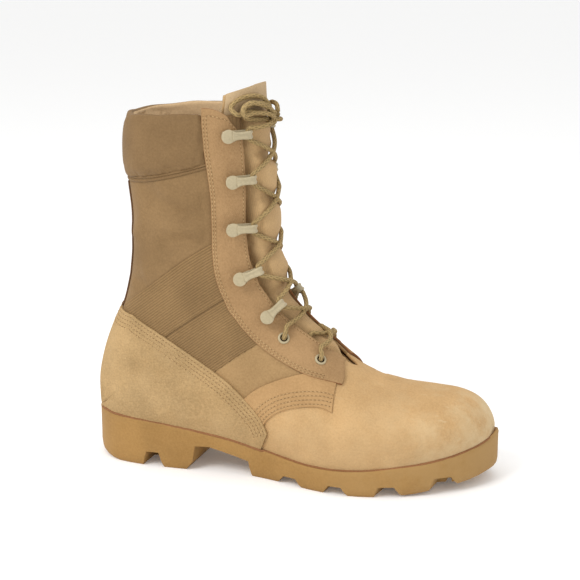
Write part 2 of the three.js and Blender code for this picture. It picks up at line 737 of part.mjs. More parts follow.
// ---------------------------------------------------------------- hooks and eyelets
// Section whose point beside the throat lies at a height.
function sectionAtHeight(side, z, inset) {
  const f = (s) => section(side, s).at(throatEdge(side, s) + inset).z - z;
  return bisect(f, 8.1, TOP_ROW);
}

// Frame on the facing: x towards the throat, y up the facing's edge, z outwards.
function facingFrame(side, z, inset, lift) {
  const s = sectionAtHeight(side, z, inset);
  const d = throatEdge(side, s) + inset;
  const here = section(side, s);
  const n = normalAt(side, s, d);
  const beside = (t) => section(side, t).at(throatEdge(side, t) + inset);
  const y = beside(s + 0.25).sub(beside(s - 0.25));
  y.addScaledVector(n, -y.dot(n)).normalize();
  if (side > 0) y.negate();
  const x = y.clone().cross(n);
  const origin = here.at(d).addScaledVector(n, lift);
  return new THREE.Matrix4().makeBasis(x, y, n).setPosition(origin);
}

function prismAcross(profile, width) {
  const shape = new THREE.Shape(profile.map(([x, z]) => new THREE.Vector2(x, z)));
  const geometry = new THREE.ExtrudeGeometry(shape, { depth: width, bevelEnabled: false });
  geometry.translate(0, 0, -width / 2);
  geometry.rotateX(Math.PI / 2);
  return fromGeometry(geometry);
}

function makeHook() {
  const { plate, open, reach, head } = HOOK;
  const tip = reach - 3.2;
  const high = plate + open;
  const arm = prismAcross([
    [0, 0], [tip + 1, 0], [tip + 3.2, 2], [tip + 3.2, high - 1],
    [tip + 1, high + 1.1], [0, high + 1.1], [0, high], [tip + 0.6, high],
    [tip + 2, high - 1.4], [tip + 2, 2.4], [tip + 0.6, plate], [0, plate],
  ], HOOK.width);
  const disc = (radius, bottom, height) => {
    const g = new THREE.CylinderGeometry(radius, radius, height, 8);
    g.rotateX(Math.PI / 2);
    g.translate(0, 0, bottom + height / 2);
    return fromGeometry(g);
  };
  return arm.add(disc(head / 2, high - 0.2, 1.7)).add(disc(HOOK.base / 2, 0, plate + 0.2));
}

function makeEyelet() {
  const r0 = EYELET.bore / 2;
  const r1 = EYELET.outer / 2;
  const profile = [[r0, 0], [r1, 0], [r1 - 0.7, EYELET.flange], [r0 + 0.4, EYELET.flange], [r0, 0]].map(([x, y]) => new THREE.Vector2(x, y));
  const geometry = new THREE.LatheGeometry(profile, 10);
  geometry.rotateX(Math.PI / 2);
  return fromGeometry(geometry);
}

const SEAT = AIR + OVERLAY + GAP;   // outer face of the facing, plus its air gap

const hook = makeHook();
const eyelet = makeEyelet();

function place(name, manifold, frame, colour) {
  const mesh = add(name, manifold, colour, 0.45, 0.35);
  frame.decompose(mesh.position, mesh.quaternion, mesh.scale);
}

// ---------------------------------------------------------------- lace
// Point in a hook's own frame, in the boot's frame.
function beside(frame, x, y, z) {
  return new THREE.Vector3(x, y, z).applyMatrix4(frame);
}

function tube(points, diameter, steps) {
  const path = new THREE.CatmullRomCurve3(points, false, "centripetal");
  const shape = new THREE.Shape();
  for (let i = 0; i < TUBE_SIDES; i += 1) {
    const a = (i / TUBE_SIDES) * 2 * Math.PI;
    const [x, y] = [Math.cos(a) * diameter / 2, Math.sin(a) * diameter / 2];
    if (i === 0) shape.moveTo(x, y);
    else shape.lineTo(x, y);
  }
  shape.closePath();
  const geometry = new THREE.ExtrudeGeometry(shape, { steps, bevelEnabled: false, extrudePath: path });
  return fromGeometry(geometry);
}

// Middle of the lacing between two heights, in front of the tongue.
function crossing(z, lift) {
  const s = bisect((t) => section(-1, t).at(0).z - z, 8.1, TOP_ROW);
  const here = section(-1, s);
  const n = normalAt(-1, s, 0.9);
  n.y = 0;
  return here.at(0).addScaledVector(n.normalize(), here.row.puff + lift);
}

// The medial hooks sit a little further from the throat.
function hookInset(side) {
  return side < 0 ? HOOK.inset : HOOK.insetFar;
}

// Where the lace leaves a hook, above it (+1) or below it (-1).
function leaves(side, level, way) {
  const frame = facingFrame(side, HOOK_Z[level], hookInset(side), SEAT);
  const up = -side * way;
  return [
    beside(frame, HOOK.reach - 0.6, 5.4 * up, HOOK.plate + HOOK.open / 2 + 0.2),
    beside(frame, HOOK.reach + 4.2, 7.4 * up, HOOK.plate + HOOK.open / 2 + 0.6),
  ];
}

function overEyelet(side) {
  const frame = facingFrame(side, EYELET_Z[0], EYELET.inset, SEAT);
  const high = EYELET.flange + LACE / 2;
  return [beside(frame, 1.5, -1.5 * side, high + 0.6), beside(frame, 8, -4 * side, high + 1.2)];
}

// Two strands joined where they cross over the tongue.
function makeCrossing(level) {
  const lower = level + 1 < HOOK_Z.length;
  const z = lower ? (HOOK_Z[level] + HOOK_Z[level + 1]) / 2 : 114.5;
  const mid = crossing(z, LACE / 2 + 1.2);
  const strand = (side) => {
    const end = lower ? leaves(-side, level + 1, 1) : overEyelet(-side);
    return tube([...leaves(side, level, -1), mid, end[1], end[0]], LACE, 9);
  };
  return strand(-1).add(strand(1));
}

// The knot, tied across from one top hook to the other, and two short loops.
function makeKnot() {
  const middle = crossing(262.5, LACE / 2 + 1.8);
  const [low, near] = leaves(-1, 0, 1);
  const [lowFar, far] = leaves(1, 0, 1);
  const tie = tube([low, near, middle, far, lowFar], LACE, 14);
  const lump = new THREE.IcosahedronGeometry(1, 1);
  lump.scale(...KNOT.half);
  lump.translate(...middle.clone().add(new THREE.Vector3(...KNOT.middle)).toArray());
  const inner = tube(LOOP_INNER.map(([x, y, z]) => middle.clone().add(new THREE.Vector3(x, y, z))), LACE, 18);
  return tie.add(fromGeometry(lump)).add(inner);
}

function makeLoop(points) {
  const middle = crossing(262.5, LACE / 2 + 1.8);
  return tube(points.map(([x, y, z]) => middle.clone().add(new THREE.Vector3(x, y, z))), LACE, 16);
}

// ---------------------------------------------------------------- assembly
const skinOfUpper = upperSkin();
add("outsole", makeSole(), RUBBER, 0.8);
add("insole", makeInsole(), 0x4a4438, 0.95);
add("upper", skinOfUpper.shell(-WALL, 0), LEATHER, 0.95);
add("tongue", makeTongue(), NYLON, 0.9);
add("collar", makeCollar(), NYLON, 0.9);
add("heel_counter", makeCounter(), LEATHER, 0.95);
add("eyestay_lateral", makeFacing(-1), LEATHER, 0.95);
add("eyestay_medial", makeFacing(1), LEATHER, 0.95);
for (const [side, word] of [[-1, "lateral"], [1, "medial"]]) {
  HOOK_Z.forEach((z, i) => {
    place(`hook_${word}_${i + 1}`, hook, facingFrame(side, z, hookInset(side), SEAT), PAINT);
  });
  EYELET_Z.forEach((z, i) => {
    place(`eyelet_${word}_${i + 1}`, eyelet, facingFrame(side, z, EYELET.inset, SEAT), PAINT);
  });
}
HOOK_Z.forEach((z, i) => add(`lace_crossing_${i + 1}`, makeCrossing(i), CORD, 0.9));
add("lace_knot", makeKnot(), CORD, 0.9);
add("lace_loop_lateral", makeLoop(LOOP_LATERAL), CORD, 0.9);
add("lace_loop_medial", makeLoop(LOOP_MEDIAL), CORD, 0.9);

export default boot;
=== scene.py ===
import logging
import math
from dataclasses import dataclass, field
from enum import Enum
from typing import Callable, Optional, Sequence

import bmesh
import bpy
import numpy as np
from mathutils import Matrix, Vector
from mathutils.bvhtree import BVHTree


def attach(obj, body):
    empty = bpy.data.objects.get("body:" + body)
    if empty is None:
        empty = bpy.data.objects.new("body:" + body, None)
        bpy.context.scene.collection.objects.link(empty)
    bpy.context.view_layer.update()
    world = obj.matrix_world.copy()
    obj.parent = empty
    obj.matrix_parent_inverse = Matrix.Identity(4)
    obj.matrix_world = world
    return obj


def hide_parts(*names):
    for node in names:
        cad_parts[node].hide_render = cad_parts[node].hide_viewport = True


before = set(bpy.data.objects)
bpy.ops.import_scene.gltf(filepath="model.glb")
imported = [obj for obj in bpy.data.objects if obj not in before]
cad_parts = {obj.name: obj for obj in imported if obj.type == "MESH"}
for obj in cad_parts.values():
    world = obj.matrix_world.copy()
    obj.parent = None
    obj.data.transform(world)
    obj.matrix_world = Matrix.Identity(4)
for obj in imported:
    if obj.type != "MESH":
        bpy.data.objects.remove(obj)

log = logging.getLogger("boot")

MM = 0.001                                # metres in a millimetre
WELD = 2e-5                               # vertices closer than this are merged, in metres
CENTRE = np.array([154.0, -0.9, 0.0])     # middle of the boot, from the heel's back
HEEL_ROW = 15                             # section through the heel's lower corner
TOP_ROW = 25.0                            # section at the shaft's top edge
LAST_ROW = 26                             # last section of the table, above that edge
THROAT_END = 7.9                          # section where the throat ends on the vamp
THROAT_OPEN = 8.1                         # section above which the throat is open
WALL = 2.2                                # thickness of the upper
FACING_WIDTH = 29.0                       # from the throat's edge to a facing's rear edge

UPPER_KEYS = ("fx", "fy", "fz", "lx", "ly", "mx", "my", "ez",
              "widthLat", "widthMed", "peak", "square", "rear", "turn", "gap", "puff")
UPPER_ROWS = (
    (304.6, 13.5, 33, 304.6, 13.5, 304.6, 13.5, 33, -13.5, 13.5, 0.6, 0.85, 1, 60, 0, 0),
    (303.3, 12.8, 43, 301, 0.5, 301.5, 27, 30, 0.8, 28.2, 0.6, 0.85, 1, 60, 0, 0),
    (298.3, 12, 53, 293, -10.5, 294.5, 35.8, 27, 12.5, 37.8, 0.6, 0.86, 1, 60, 0, 0),
    (289.5, 11, 61, 281, -23, 284, 43.3, 24, 25.6, 45.8, 0.62, 0.87, 1, 60, 0, 0),
    (276, 9, 66.3, 264, -35, 268, 48.6, 20.5, 37.8, 51.2, 0.64, 0.9, 1, 60, 0, 0),
    (258, 7, 68.4, 243, -44.5, 247, 50.2, 17.5, 47.3, 53, 0.66, 0.92, 1, 60, 0, 0),
    (238, 5, 70.6, 222, -50.5, 226, 49, 15, 53, 51.8, 0.66, 0.94, 1, 60, 0, 0),
    (219, 3.5, 75.3, 200, -51.5, 203, 45.5, 13.5, 53.8, 48.5, 0.64, 0.95, 1, 60, 0, 0),
    (202.5, 2, 83, 178, -47.5, 180, 39, 13.5, 50, 43, 0.6, 0.95, 1, 60, 4, 0),
    (184, 1, 97.5, 152, -39.5, 154, 31.5, 16.5, 43.5, 37.5, 0.52, 0.93, 1, 60, 12.5, 2),
    (167, 0, 111.5, 122, -34, 124, 27.8, 21.5, 40, 37, 0.46, 0.9, 1, 60, 16, 1.5),
    (154.5, 0, 123.5, 90, -35.3, 90, 30.6, 26.5, 39.5, 38.3, 0.42, 0.88, 1, 58, 18.5, 1.5),
    (147.5, 0, 134, 58, -36.4, 58, 34.4, 29, 39.3, 39, 0.4, 0.88, 1, 62, 20, 2.5),
    (143.5, 0, 142.5, 30, -34, 30, 33.8, 31.5, 38.9, 38.9, 0.4, 0.88, 0.9, 80, 20.5, 4),
    (141, 0, 149, 11.5, -24, 11.5, 24, 33, 38.3, 38.3, 0.41, 0.88, 0.72, 86.5, 21, 5),
    (139.5, 0, 155, 5, 0, 5, 0, 34, 37.7, 37.7, 0.42, 0.89, 0.46, 90, 21, 5.5),
    (137.5, 0, 164, 3, 0, 3, 0, 56, 37.2, 37.2, 0.44, 0.9, 0.52, 90, 21.5, 6),
    (136, 0, 175, 6.4, 0, 6.4, 0, 78, 36.8, 36.8, 0.46, 0.91, 0.6, 90, 22, 5),
    (134.5, 0, 188, 13.6, 0, 13.6, 0, 100, 36.5, 36.5, 0.47, 0.92, 0.7, 90, 22, 6),
    (133.5, 0, 202, 22.3, 0, 22.3, 0, 120, 36.6, 36.6, 0.48, 0.93, 0.8, 90, 22, 6),
    (132.8, 0, 216.5, 27.5, 0, 27.5, 0, 142, 37.4, 37.4, 0.49, 0.93, 0.87, 90, 22, 4),
    (132, 0, 230, 30, 0, 30, 0, 166, 38.4, 38.4, 0.5, 0.93, 0.92, 90, 22, 3.5),
    (131, 0, 243, 30, 0, 30, 0, 191, 39.4, 39.4, 0.5, 0.93, 0.93, 90, 22.5, 3.5),
    (130.2, 0, 254, 27.5, 0, 27.5, 0, 215, 40.3, 40.3, 0.5, 0.93, 0.93, 90, 23, 3),
    (129.5, 0, 262, 27, 0, 27, 0, 238, 41, 41, 0.5, 0.93, 0.93, 90, 23, 2.5),
    (129, 0, 268.5, 28.5, 0, 28.5, 0, 263, 41.5, 41.5, 0.5, 0.93, 0.93, 90, 23, 2),
    (128.5, 0, 291, 30, 0, 30, 0, 288, 42, 42, 0.5, 0.93, 0.93, 90, 23, 1.5),
)
HEEL_SIGN = {"lx": 1, "ly": -1, "mx": 1, "my": -1, "ez": 1}

# Side view of the counter's top edge: x, z.
COUNTER_TOP = ((-10, 124), (18, 117), (39, 115.5), (61, 104.8), (83, 93), (104, 80.8),
               (117, 72), (129, 61), (138, 52), (143, 46), (146, 40), (150, 30))

# Side view of the middle of the quarter strip, below which the upper is suede: x, z.
STRIP_MIDDLE = ((128, 44), (135, 50), (147, 57), (158, 66), (173, 72), (186, 76), (194, 80), (196, 200))

# Side view of the lower webbing's foot, below which the nylon is paler: x, z.
WEBBING_FOOT = ((94, 71), (105, 79), (125, 94), (137, 102), (150, 111))

# Height of the sole's rim along the boot: x, z.
RIM = ((0, 39), (12, 38.4), (25, 37.4), (45, 35.8), (65, 34.2), (85, 32.2), (110, 28.6), (135, 23.6),
       (160, 19.6), (180, 18), (200, 18), (220, 19.2), (240, 21.4), (260, 24), (280, 27.4), (295, 31.2),
       (303, 35), (308, 39))

Point = Sequence[float]


class Side(Enum):
    """The two sides of the boot, with the sign of their y."""

    LATERAL = -1
    MEDIAL = 1


class Pattern(Enum):
    """The relief and marking that a finish carries."""

    SUEDE = "suede"
    WEAVE = "weave"
    RIBS = "ribs"
    BRAID = "braid"
    RUBBER = "rubber"
    PAINT = "paint"
    THREAD = "thread"


class Effect(Enum):
    """The shared shader groups."""

    MOTTLE = "mottle"
    NAP = "nap"
    WEAVE = "weave"
    RIBS = "ribs"
    BRAID = "braid"
    WEAR = "wear"


def smooth(t: np.ndarray) -> np.ndarray:
    """Ease from 0 to 1 with level ends."""
    c = np.clip(t, 0, 1)
    return c * c * (3 - 2 * c)


def row(points: np.ndarray) -> np.ndarray:
    """Millimetres from the heel's back, in metres in the row frame."""
    return (np.asarray(points, float) - CENTRE) * MM


# ---------------------------------------------------------------- the boot's form
@dataclass(frozen=True)
class Crease:
    """A soft trough or ridge between two points seen from the side.

    Args:
        side: the side it lies on, or None for both.
        start: x and z of one end, in mm.
        end: x and z of the other end, in mm.
        width: half width, in mm.
        depth: height of the ridge, or depth if negative, in mm.
    """

    side: Optional[Side]
    start: tuple
    end: tuple
    width: float
    depth: float

    def height(self, x: np.ndarray, z: np.ndarray) -> np.ndarray:
        """How far the surface moves out at each point.

        Args:
            x: places along the boot, in mm.
            z: heights, in mm.

        Returns:
            Offsets along the normal, in mm.
        """
        a = np.array(self.start, float)
        d = np.array(self.end, float) - a
        t = ((x - a[0]) * d[0] + (z - a[1]) * d[1]) / (d @ d)
        c = np.clip(t, 0, 1)
        away = np.hypot(x - a[0] - c * d[0], z - a[1] - c * d[1])
        fade = smooth(1 - np.abs(2 * c - 1) ** 3 * 0.7)
        return self.depth * fade * np.exp(-((away / self.width) ** 2))


CREASES = (
    Crease(Side.LATERAL, (44, 214), (90, 190), 8, -3.8),
    Crease(Side.LATERAL, (58, 208), (97, 206), 9, 2.6),
    Crease(Side.LATERAL, (62, 170), (92, 178), 7, -3.0),
    Crease(Side.LATERAL, (66, 188), (98, 182), 6, 2.6),
    Crease(Side.LATERAL, (44, 150), (78, 158), 7, 2.5),
    Crease(Side.LATERAL, (36, 170), (50, 196), 6, 2.2),
    Crease(Side.LATERAL, (34, 142), (60, 134), 5, -2.1),
    Crease(Side.MEDIAL, (42, 206), (92, 196), 8, -3.4),
    Crease(Side.MEDIAL, (50, 184), (96, 176), 8, 2.6),
    Crease(Side.MEDIAL, (46, 168), (88, 158), 7, -2.9),
    Crease(Side.MEDIAL, (40, 148), (80, 140), 7, 2.1),
    Crease(Side.LATERAL, (192, 62), (216, 34), 6, -1.3),
    Crease(Side.LATERAL, (206, 70), (232, 40), 7, 0.9),
    Crease(Side.LATERAL, (226, 66), (246, 38), 6, -1.0),
    Crease(Side.MEDIAL, (196, 64), (220, 34), 6, -1.3),
    Crease(Side.MEDIAL, (216, 66), (240, 36), 6, -1.0),
    Crease(None, (214, 78), (222, 72), 5, -1.0),
    Crease(None, (234, 74), (240, 70), 5, -0.8),
    Crease(Side.LATERAL, (60, 78), (110, 56), 12, -1.1),
    Crease(Side.LATERAL, (20, 92), (60, 84), 10, 0.9),
)


class BootForm:
    """The last shape, as sections from the toe's tip round the instep to the collar."""

    STEP = 0.05              # sections between two samples
    SHARES = 121             # samples from the ridge to the sole
    RAW = 128                # steps along a section before it is made even
    CORNER_REACH = 1.9       # sections beside the heel's corner that are rounded
    CORNER_SPREAD = 0.9      # sections that are averaged at the corner
    CORNER_SAMPLES = 17

    def __init__(self) -> None:
        """Sample both sides densely, with their creases and normals."""
        self.table = {k: np.array([r[i] for r in UPPER_ROWS], float)
                      for i, k in enumerate(UPPER_KEYS)}
        self.s = np.arange(0, LAST_ROW + self.STEP / 2, self.STEP)
        self.points, self.normals, self.length, self.throats = {}, {}, {}, {}
        for side in Side:
            self._sample(side)

    def column(self, key: str, s: np.ndarray) -> np.ndarray:
        """A column of the table, on a smooth curve through its rows.

        Args:
            key: the column's name.
            s: section numbers.

        Returns:
            The values at those sections.
        """
        v = self.table[key]
        last = len(v) - 1
        i = np.clip(np.floor(s).astype(int), 0, last - 1)
        before = np.where(i > 0, v[np.maximum(i - 1, 0)], 2 * v[0] - v[1])
        after = np.where(i + 2 <= last, v[np.minimum(i + 2, last)], 2 * v[last] - v[last - 1])
        if key in HEEL_SIGN:
            after = np.where(i + 1 == HEEL_ROW, HEEL_SIGN[key] * v[i], after)
            before = np.where(i == HEEL_ROW, 2 * v[i] - v[i + 1], before)
        a, b, c, d, t = before, v[i], v[i + 1], after, s - i
        return 0.5 * (2 * b + (c - a) * t + (2 * a - 5 * b + 4 * c - d) * t ** 2
                      + (3 * b - a - 3 * c + d) * t ** 3)

    def _raw(self, side: Side, s: np.ndarray) -> np.ndarray:
        """Half sections before the heel's corner is rounded.

        Args:
            side: the side of the boot.
            s: section numbers.

        Returns:
            An array of sections, places and coordinates.
        """
        get = {k: self.column(k, s)[:, None] for k in UPPER_KEYS}
        lateral = side is Side.LATERAL
        ex, ey = (get["lx"], get["ly"]) if lateral else (get["mx"], get["my"])
        width = -get["widthLat"] if lateral else get["widthMed"]
        u = np.linspace(0, 2, self.RAW + 1)[None, :]
        angle = np.minimum(u, 1) * math.pi / 2
        cos, sin = np.maximum(np.cos(angle), 0), np.sin(angle)
        near = get["peak"] * (1 - cos ** get["square"])
        near_y = get["fy"] + (width - get["fy"]) * sin ** get["square"]
        turn = np.radians(get["turn"])
        bend = np.maximum(u - 1, 0) * turn
        fall = np.maximum((np.cos(bend) - np.cos(turn)) / (1 - np.cos(turn)), 0)
        far = get["peak"] + (1 - get["peak"]) * np.sin(bend) / np.sin(turn)
        far_y = ey + (width - ey) * fall ** get["rear"]
        along = np.where(u <= 1, near, far)
        y = np.where(u <= 1, near_y, far_y)
        return np.stack([get["fx"] + (ex - get["fx"]) * along, y,
                         get["fz"] + (get["ez"] - get["fz"]) * along], -1)

    def _sample(self, side: Side) -> None:
        """Fill the dense tables of one side.

        Args:
            side: the side of the boot.
        """
        s = self.s
        away = np.minimum(1, np.abs(s - HEEL_ROW) / self.CORNER_REACH)
        reach = self.CORNER_SPREAD * (1 - smooth(away))
        spread = np.linspace(-1, 1, self.CORNER_SAMPLES)
        raw = sum(self._raw(side, np.clip(s + reach * k, 0, LAST_ROW)) for k in spread) / self.CORNER_SAMPLES
        raw[s >= HEEL_ROW, -1, 1] = 0
        step = np.linalg.norm(np.diff(raw, axis=1), axis=2)
        arc = np.concatenate([np.zeros((len(s), 1)), np.cumsum(step, 1)], 1)
        self.length[side] = arc[:, -1]
        share = np.linspace(0, 1, self.SHARES)
        even = np.empty((len(s), self.SHARES, 3))
        throat = np.zeros(len(s))
        gap, fy = self.column("gap", s), self.column("fy", s)
        for i in range(len(s)):
            for k in range(3):
                even[i, :, k] = np.interp(share * arc[i, -1], arc[i], raw[i, :, k])
            half = self.RAW // 2
            if s[i] > THROAT_END and gap[i] > 0.01:
                throat[i] = np.interp(gap[i], np.abs(raw[i, :half, 1] - fy[i]), arc[i, :half])
        self.throats[side] = throat
        normals = self._normals(side, even)
        lift = np.zeros(even.shape[:2])
        for crease in CREASES:
            if crease.side in (side, None):
                lift += crease.height(even[..., 0], even[..., 2])
        self.points[side] = even + normals * lift[..., None]
        self.normals[side] = self._normals(side, self.points[side])

    def _normals(self, side: Side, grid: np.ndarray) -> np.ndarray:
        """Outward unit normals of a grid of points.

        Args:
            side: the side of the boot.
            grid: sections, shares and coordinates.

        Returns:
            An array of the same shape.
        """
        along, across = np.gradient(grid, axis=0), np.gradient(grid, axis=1)
        across[:, 0] = (0, side.value, 0)
        n = np.cross(along, across) * -side.value
        n[:, 0, 1] = 0
        n[self.s >= HEEL_ROW, -1, 1] = 0
        size = np.linalg.norm(n, axis=2, keepdims=True)
        return n / np.maximum(size, 1e-9)

    def lengths(self, side: Side, s: np.ndarray) -> np.ndarray:
        """Length of the half section at each s, in mm."""
        return np.interp(s, self.s, self.length[side])

    def throat(self, side: Side, s: np.ndarray) -> np.ndarray:
        """Distance from the ridge to the throat's edge at each s, in mm."""
        return np.interp(s, self.s, self.throats[side])

    def at(self, side: Side, s: np.ndarray, d: np.ndarray, lift: np.ndarray = 0.0
           ) -> tuple[np.ndarray, np.ndarray]:
        """Points on the form and their normals.

        Args:
            side: the side of the boot.
            s: section numbers.
            d: distances from the ridge, in mm.
            lift: distance out from the surface, in mm.

        Returns:
            Points and unit normals.
        """
        s, d = np.broadcast_arrays(np.asarray(s, float), np.asarray(d, float))
        share = np.clip(d / np.maximum(self.lengths(side, s), 1e-6), 0, 1) * (self.SHARES - 1)
        i = np.clip(s / self.STEP, 0, len(self.s) - 1.001)
        share = np.minimum(share, self.SHARES - 1.001)
        i0, j0 = np.floor(i).astype(int), np.floor(share).astype(int)
        fi, fj = (i - i0)[..., None], (share - j0)[..., None]

        def blend(grid: np.ndarray) -> np.ndarray:
            """Weigh the four samples round each place.

            Args:
                grid: the dense table.

            Returns:
                A value for each place.
            """
            return ((grid[i0, j0] * (1 - fj) + grid[i0, j0 + 1] * fj) * (1 - fi)
                    + (grid[i0 + 1, j0] * (1 - fj) + grid[i0 + 1, j0 + 1] * fj) * fi)

        n = blend(self.normals[side])
        n /= np.maximum(np.linalg.norm(n, axis=-1, keepdims=True), 1e-9)
        return blend(self.points[side]) + n * np.asarray(lift)[..., None], n

    def at_height(self, side: Side, z: float, inset: float) -> float:
        """Section whose point beside the throat lies at a height.

        Args:
            side: the side of the boot.
            z: height in mm.
            inset: distance from the throat's edge, in mm.

        Returns:
            The section number.
        """
        s = self.s[(self.s > THROAT_OPEN) & (self.s <= TOP_ROW)]
        p, _ = self.at(side, s, self.throat(side, s) + inset)
        return float(np.interp(z, p[:, 2], s))


FORM = BootForm()


# ---------------------------------------------------------------- meshes
def grid_piece(name: str, rows: int, columns: int,
               place: Callable[[np.ndarray, np.ndarray], np.ndarray],
               outward: Optional[np.ndarray] = None,
               uv: Optional[Callable[[np.ndarray, np.ndarray], np.ndarray]] = None
               ) -> bpy.types.Object:
    """A grid carried onto a surface.

    Args:
        name: the piece's name.
        rows: faces along u.
        columns: faces along v.
        place: gives points in mm for arrays u and v from 0 to 1.
        outward: a direction that the middle face should look along.
        uv: gives pattern coordinates in mm for u and v.

    Returns:
        The new object.
    """
    bm = bmesh.new()
    bmesh.ops.create_grid(bm, x_segments=rows, y_segments=columns, size=0.5)
    flat = np.array([v.co for v in bm.verts])
    u, v = flat[:, 0] + 0.5, flat[:, 1] + 0.5
    where = row(place(u, v))
    if uv is not None:
        layer = bm.loops.layers.uv.new("weave")
        pattern = uv(u, v) * MM
        bm.verts.index_update()
        for face in bm.faces:
            for loop in face.loops:
                loop[layer].uv = pattern[loop.vert.index]
    for vert, point in zip(bm.verts, where):
        vert.co = point
    bmesh.ops.remove_doubles(bm, verts=bm.verts[:], dist=WELD)
    if outward is not None:
        bm.faces.ensure_lookup_table()
        bm.normal_update()
        middle = sum((f.normal * f.calc_area() for f in bm.faces), Vector())
        if middle.dot(Vector(outward)) < 0:
            bmesh.ops.reverse_faces(bm, faces=bm.faces[:])
    return keep(bm, name)


def keep(bm: bmesh.types.BMesh, name: str) -> bpy.types.Object:
    """Make an object of a bmesh and free it.

    Args:
        bm: the shape, in metres in the row frame.
        name: the piece's name.

    Returns:
        The new object.
    """
    mesh = bpy.data.meshes.new(name)
    for face in bm.faces:
        face.smooth = True
    bm.to_mesh(mesh)
    bm.free()
    piece = bpy.data.objects.new(name, mesh)
    bpy.context.scene.collection.objects.link(piece)
    return piece


def join(pieces: list, name: str) -> bpy.types.Object:
    """Join pieces into one, weld their shared edges and name it.

    Args:
        pieces: the objects, which are used up.
        name: the joined piece's name.

    Returns:
        The joined object.
    """
    bm = bmesh.new()
    for piece in pieces:
        bm.from_mesh(piece.data)
        bpy.data.objects.remove(piece)
    bmesh.ops.remove_doubles(bm, verts=bm.verts[:], dist=WELD)
    return keep(bm, name)


def offset_copy(piece: bpy.types.Object, lift: float) -> bmesh.types.BMesh:
    """A sheet's faces, moved out along their normals.

    Args:
        piece: the sheet.
        lift: in mm.

    Returns:
        The moved faces.
    """
    bm = bmesh.new()
    bm.from_mesh(piece.data)
    bm.normal_update()
    moved = [v.co + v.normal * lift * MM for v in bm.verts]
    for vert, co in zip(bm.verts, moved):
        vert.co = co
    return bm


def open_edges(mesh: bpy.types.Mesh) -> list:
    """Vertices on a sheet's open edges.

    Args:
        mesh: the sheet.

    Returns:
        Their numbers.
    """
    bm = bmesh.new()
    bm.from_mesh(mesh)
    found = [v.index for v in bm.verts if v.is_boundary]
    bm.free()
    return found


def ease(piece: bpy.types.Object, radius: float, segments: int, degrees: float) -> None:
    """Round a piece's sharp edges.

    Args:
        piece: the object.
        radius: in mm.
        segments: faces across each rounded edge.
        degrees: edges sharper than this are rounded.
    """
    edge = piece.modifiers.new("edge", "BEVEL")
    edge.width = radius * MM
    edge.segments = segments
    edge.limit_method = "ANGLE"
    edge.angle_limit = math.radians(degrees)


def wall(piece: bpy.types.Object, thickness: float, out: bool = True, bevel: float = 0.0,
         inside: int = 0, rim: int = 0, levels: int = 0) -> bpy.types.Object:
    """Give a sheet its thickness, with rounded edges.

    Args:
        piece: the sheet.
        thickness: in mm.
        out: grow outwards, otherwise inwards.
        bevel: radius of the cut edges, in mm.
        inside: how many slots further the inner face's material is.
        rim: how many slots further the cut edge's material is.
        levels: subdivision levels.

    Returns:
        The same object.
    """
    if levels:
        fine = piece.modifiers.new("fine", "SUBSURF")
        fine.levels = fine.render_levels = levels
    thick = piece.modifiers.new("wall", "SOLIDIFY")
    thick.thickness = thickness * MM
    thick.offset = 1 if out else -1
    thick.use_even_offset = False
    thick.material_offset = inside
    thick.material_offset_rim = rim
    if bevel:
        ease(piece, bevel, 2, 50)
    return piece


def sweep(bm: bmesh.types.BMesh, points: np.ndarray, radius: float, sides: int = 10,
          closed: bool = False) -> None:
    """Run a round tube along a line, with pattern coordinates.

    Args:
        bm: the bmesh that receives it.
        points: the centre line, in mm.
        radius: in mm.
        sides: faces round the tube.
        closed: join the last ring to the first.
    """
    layer = bm.loops.layers.uv.get("weave") or bm.loops.layers.uv.new("weave")
    pts = row(points)
    count = len(pts)
    if closed:
        tangents = np.roll(pts, -1, 0) - np.roll(pts, 1, 0)
    else:
        tangents = np.gradient(pts, axis=0)
    tangents /= np.linalg.norm(tangents, axis=1, keepdims=True)
    rings, normal = [], Vector(tangents[0]).orthogonal()
    for i in range(count):
        t = Vector(tangents[i])
        normal = (normal - t * normal.dot(t)).normalized()
        side = t.cross(normal)
        turn = Matrix((normal, side, t)).transposed().to_4x4()
        turn.translation = Vector(pts[i])
        made = bmesh.ops.create_circle(bm, segments=sides, radius=radius * MM, matrix=turn)
        rings.append(made["verts"])
    length = np.concatenate([[0], np.cumsum(np.linalg.norm(np.diff(pts, axis=0), axis=1))])
    pairs = list(zip(range(count - 1), range(1, count))) + ([(count - 1, 0)] if closed else [])
    for a, b in pairs:
        edges = [e for e in {e for v in rings[a] + rings[b] for e in v.link_edges}
                 if (e.verts[0] in rings[a] and e.verts[1] in rings[a])
                 or (e.verts[0] in rings[b] and e.verts[1] in rings[b])]
        made = bmesh.ops.bridge_loops(bm, edges=edges)
        places = {v: (k, length[a]) for k, v in enumerate(rings[a])}
        ahead = length[b] if b > a else length[-1] + length[1]
        places.update({v: (k, ahead) for k, v in enumerate(rings[b])})
        for face in made["faces"]:
            wraps = {places[v][0] for v in face.verts} >= {0, sides - 1}
            for loop in face.loops:
                k, along = places[loop.vert]
                k = sides if wraps and k == 0 else k
                loop[layer].uv = (k / sides * radius * 2 * math.pi * MM, along)
    if not closed:
        for ring in (rings[0], rings[-1]):
            bmesh.ops.contextual_create(bm, geom=ring)


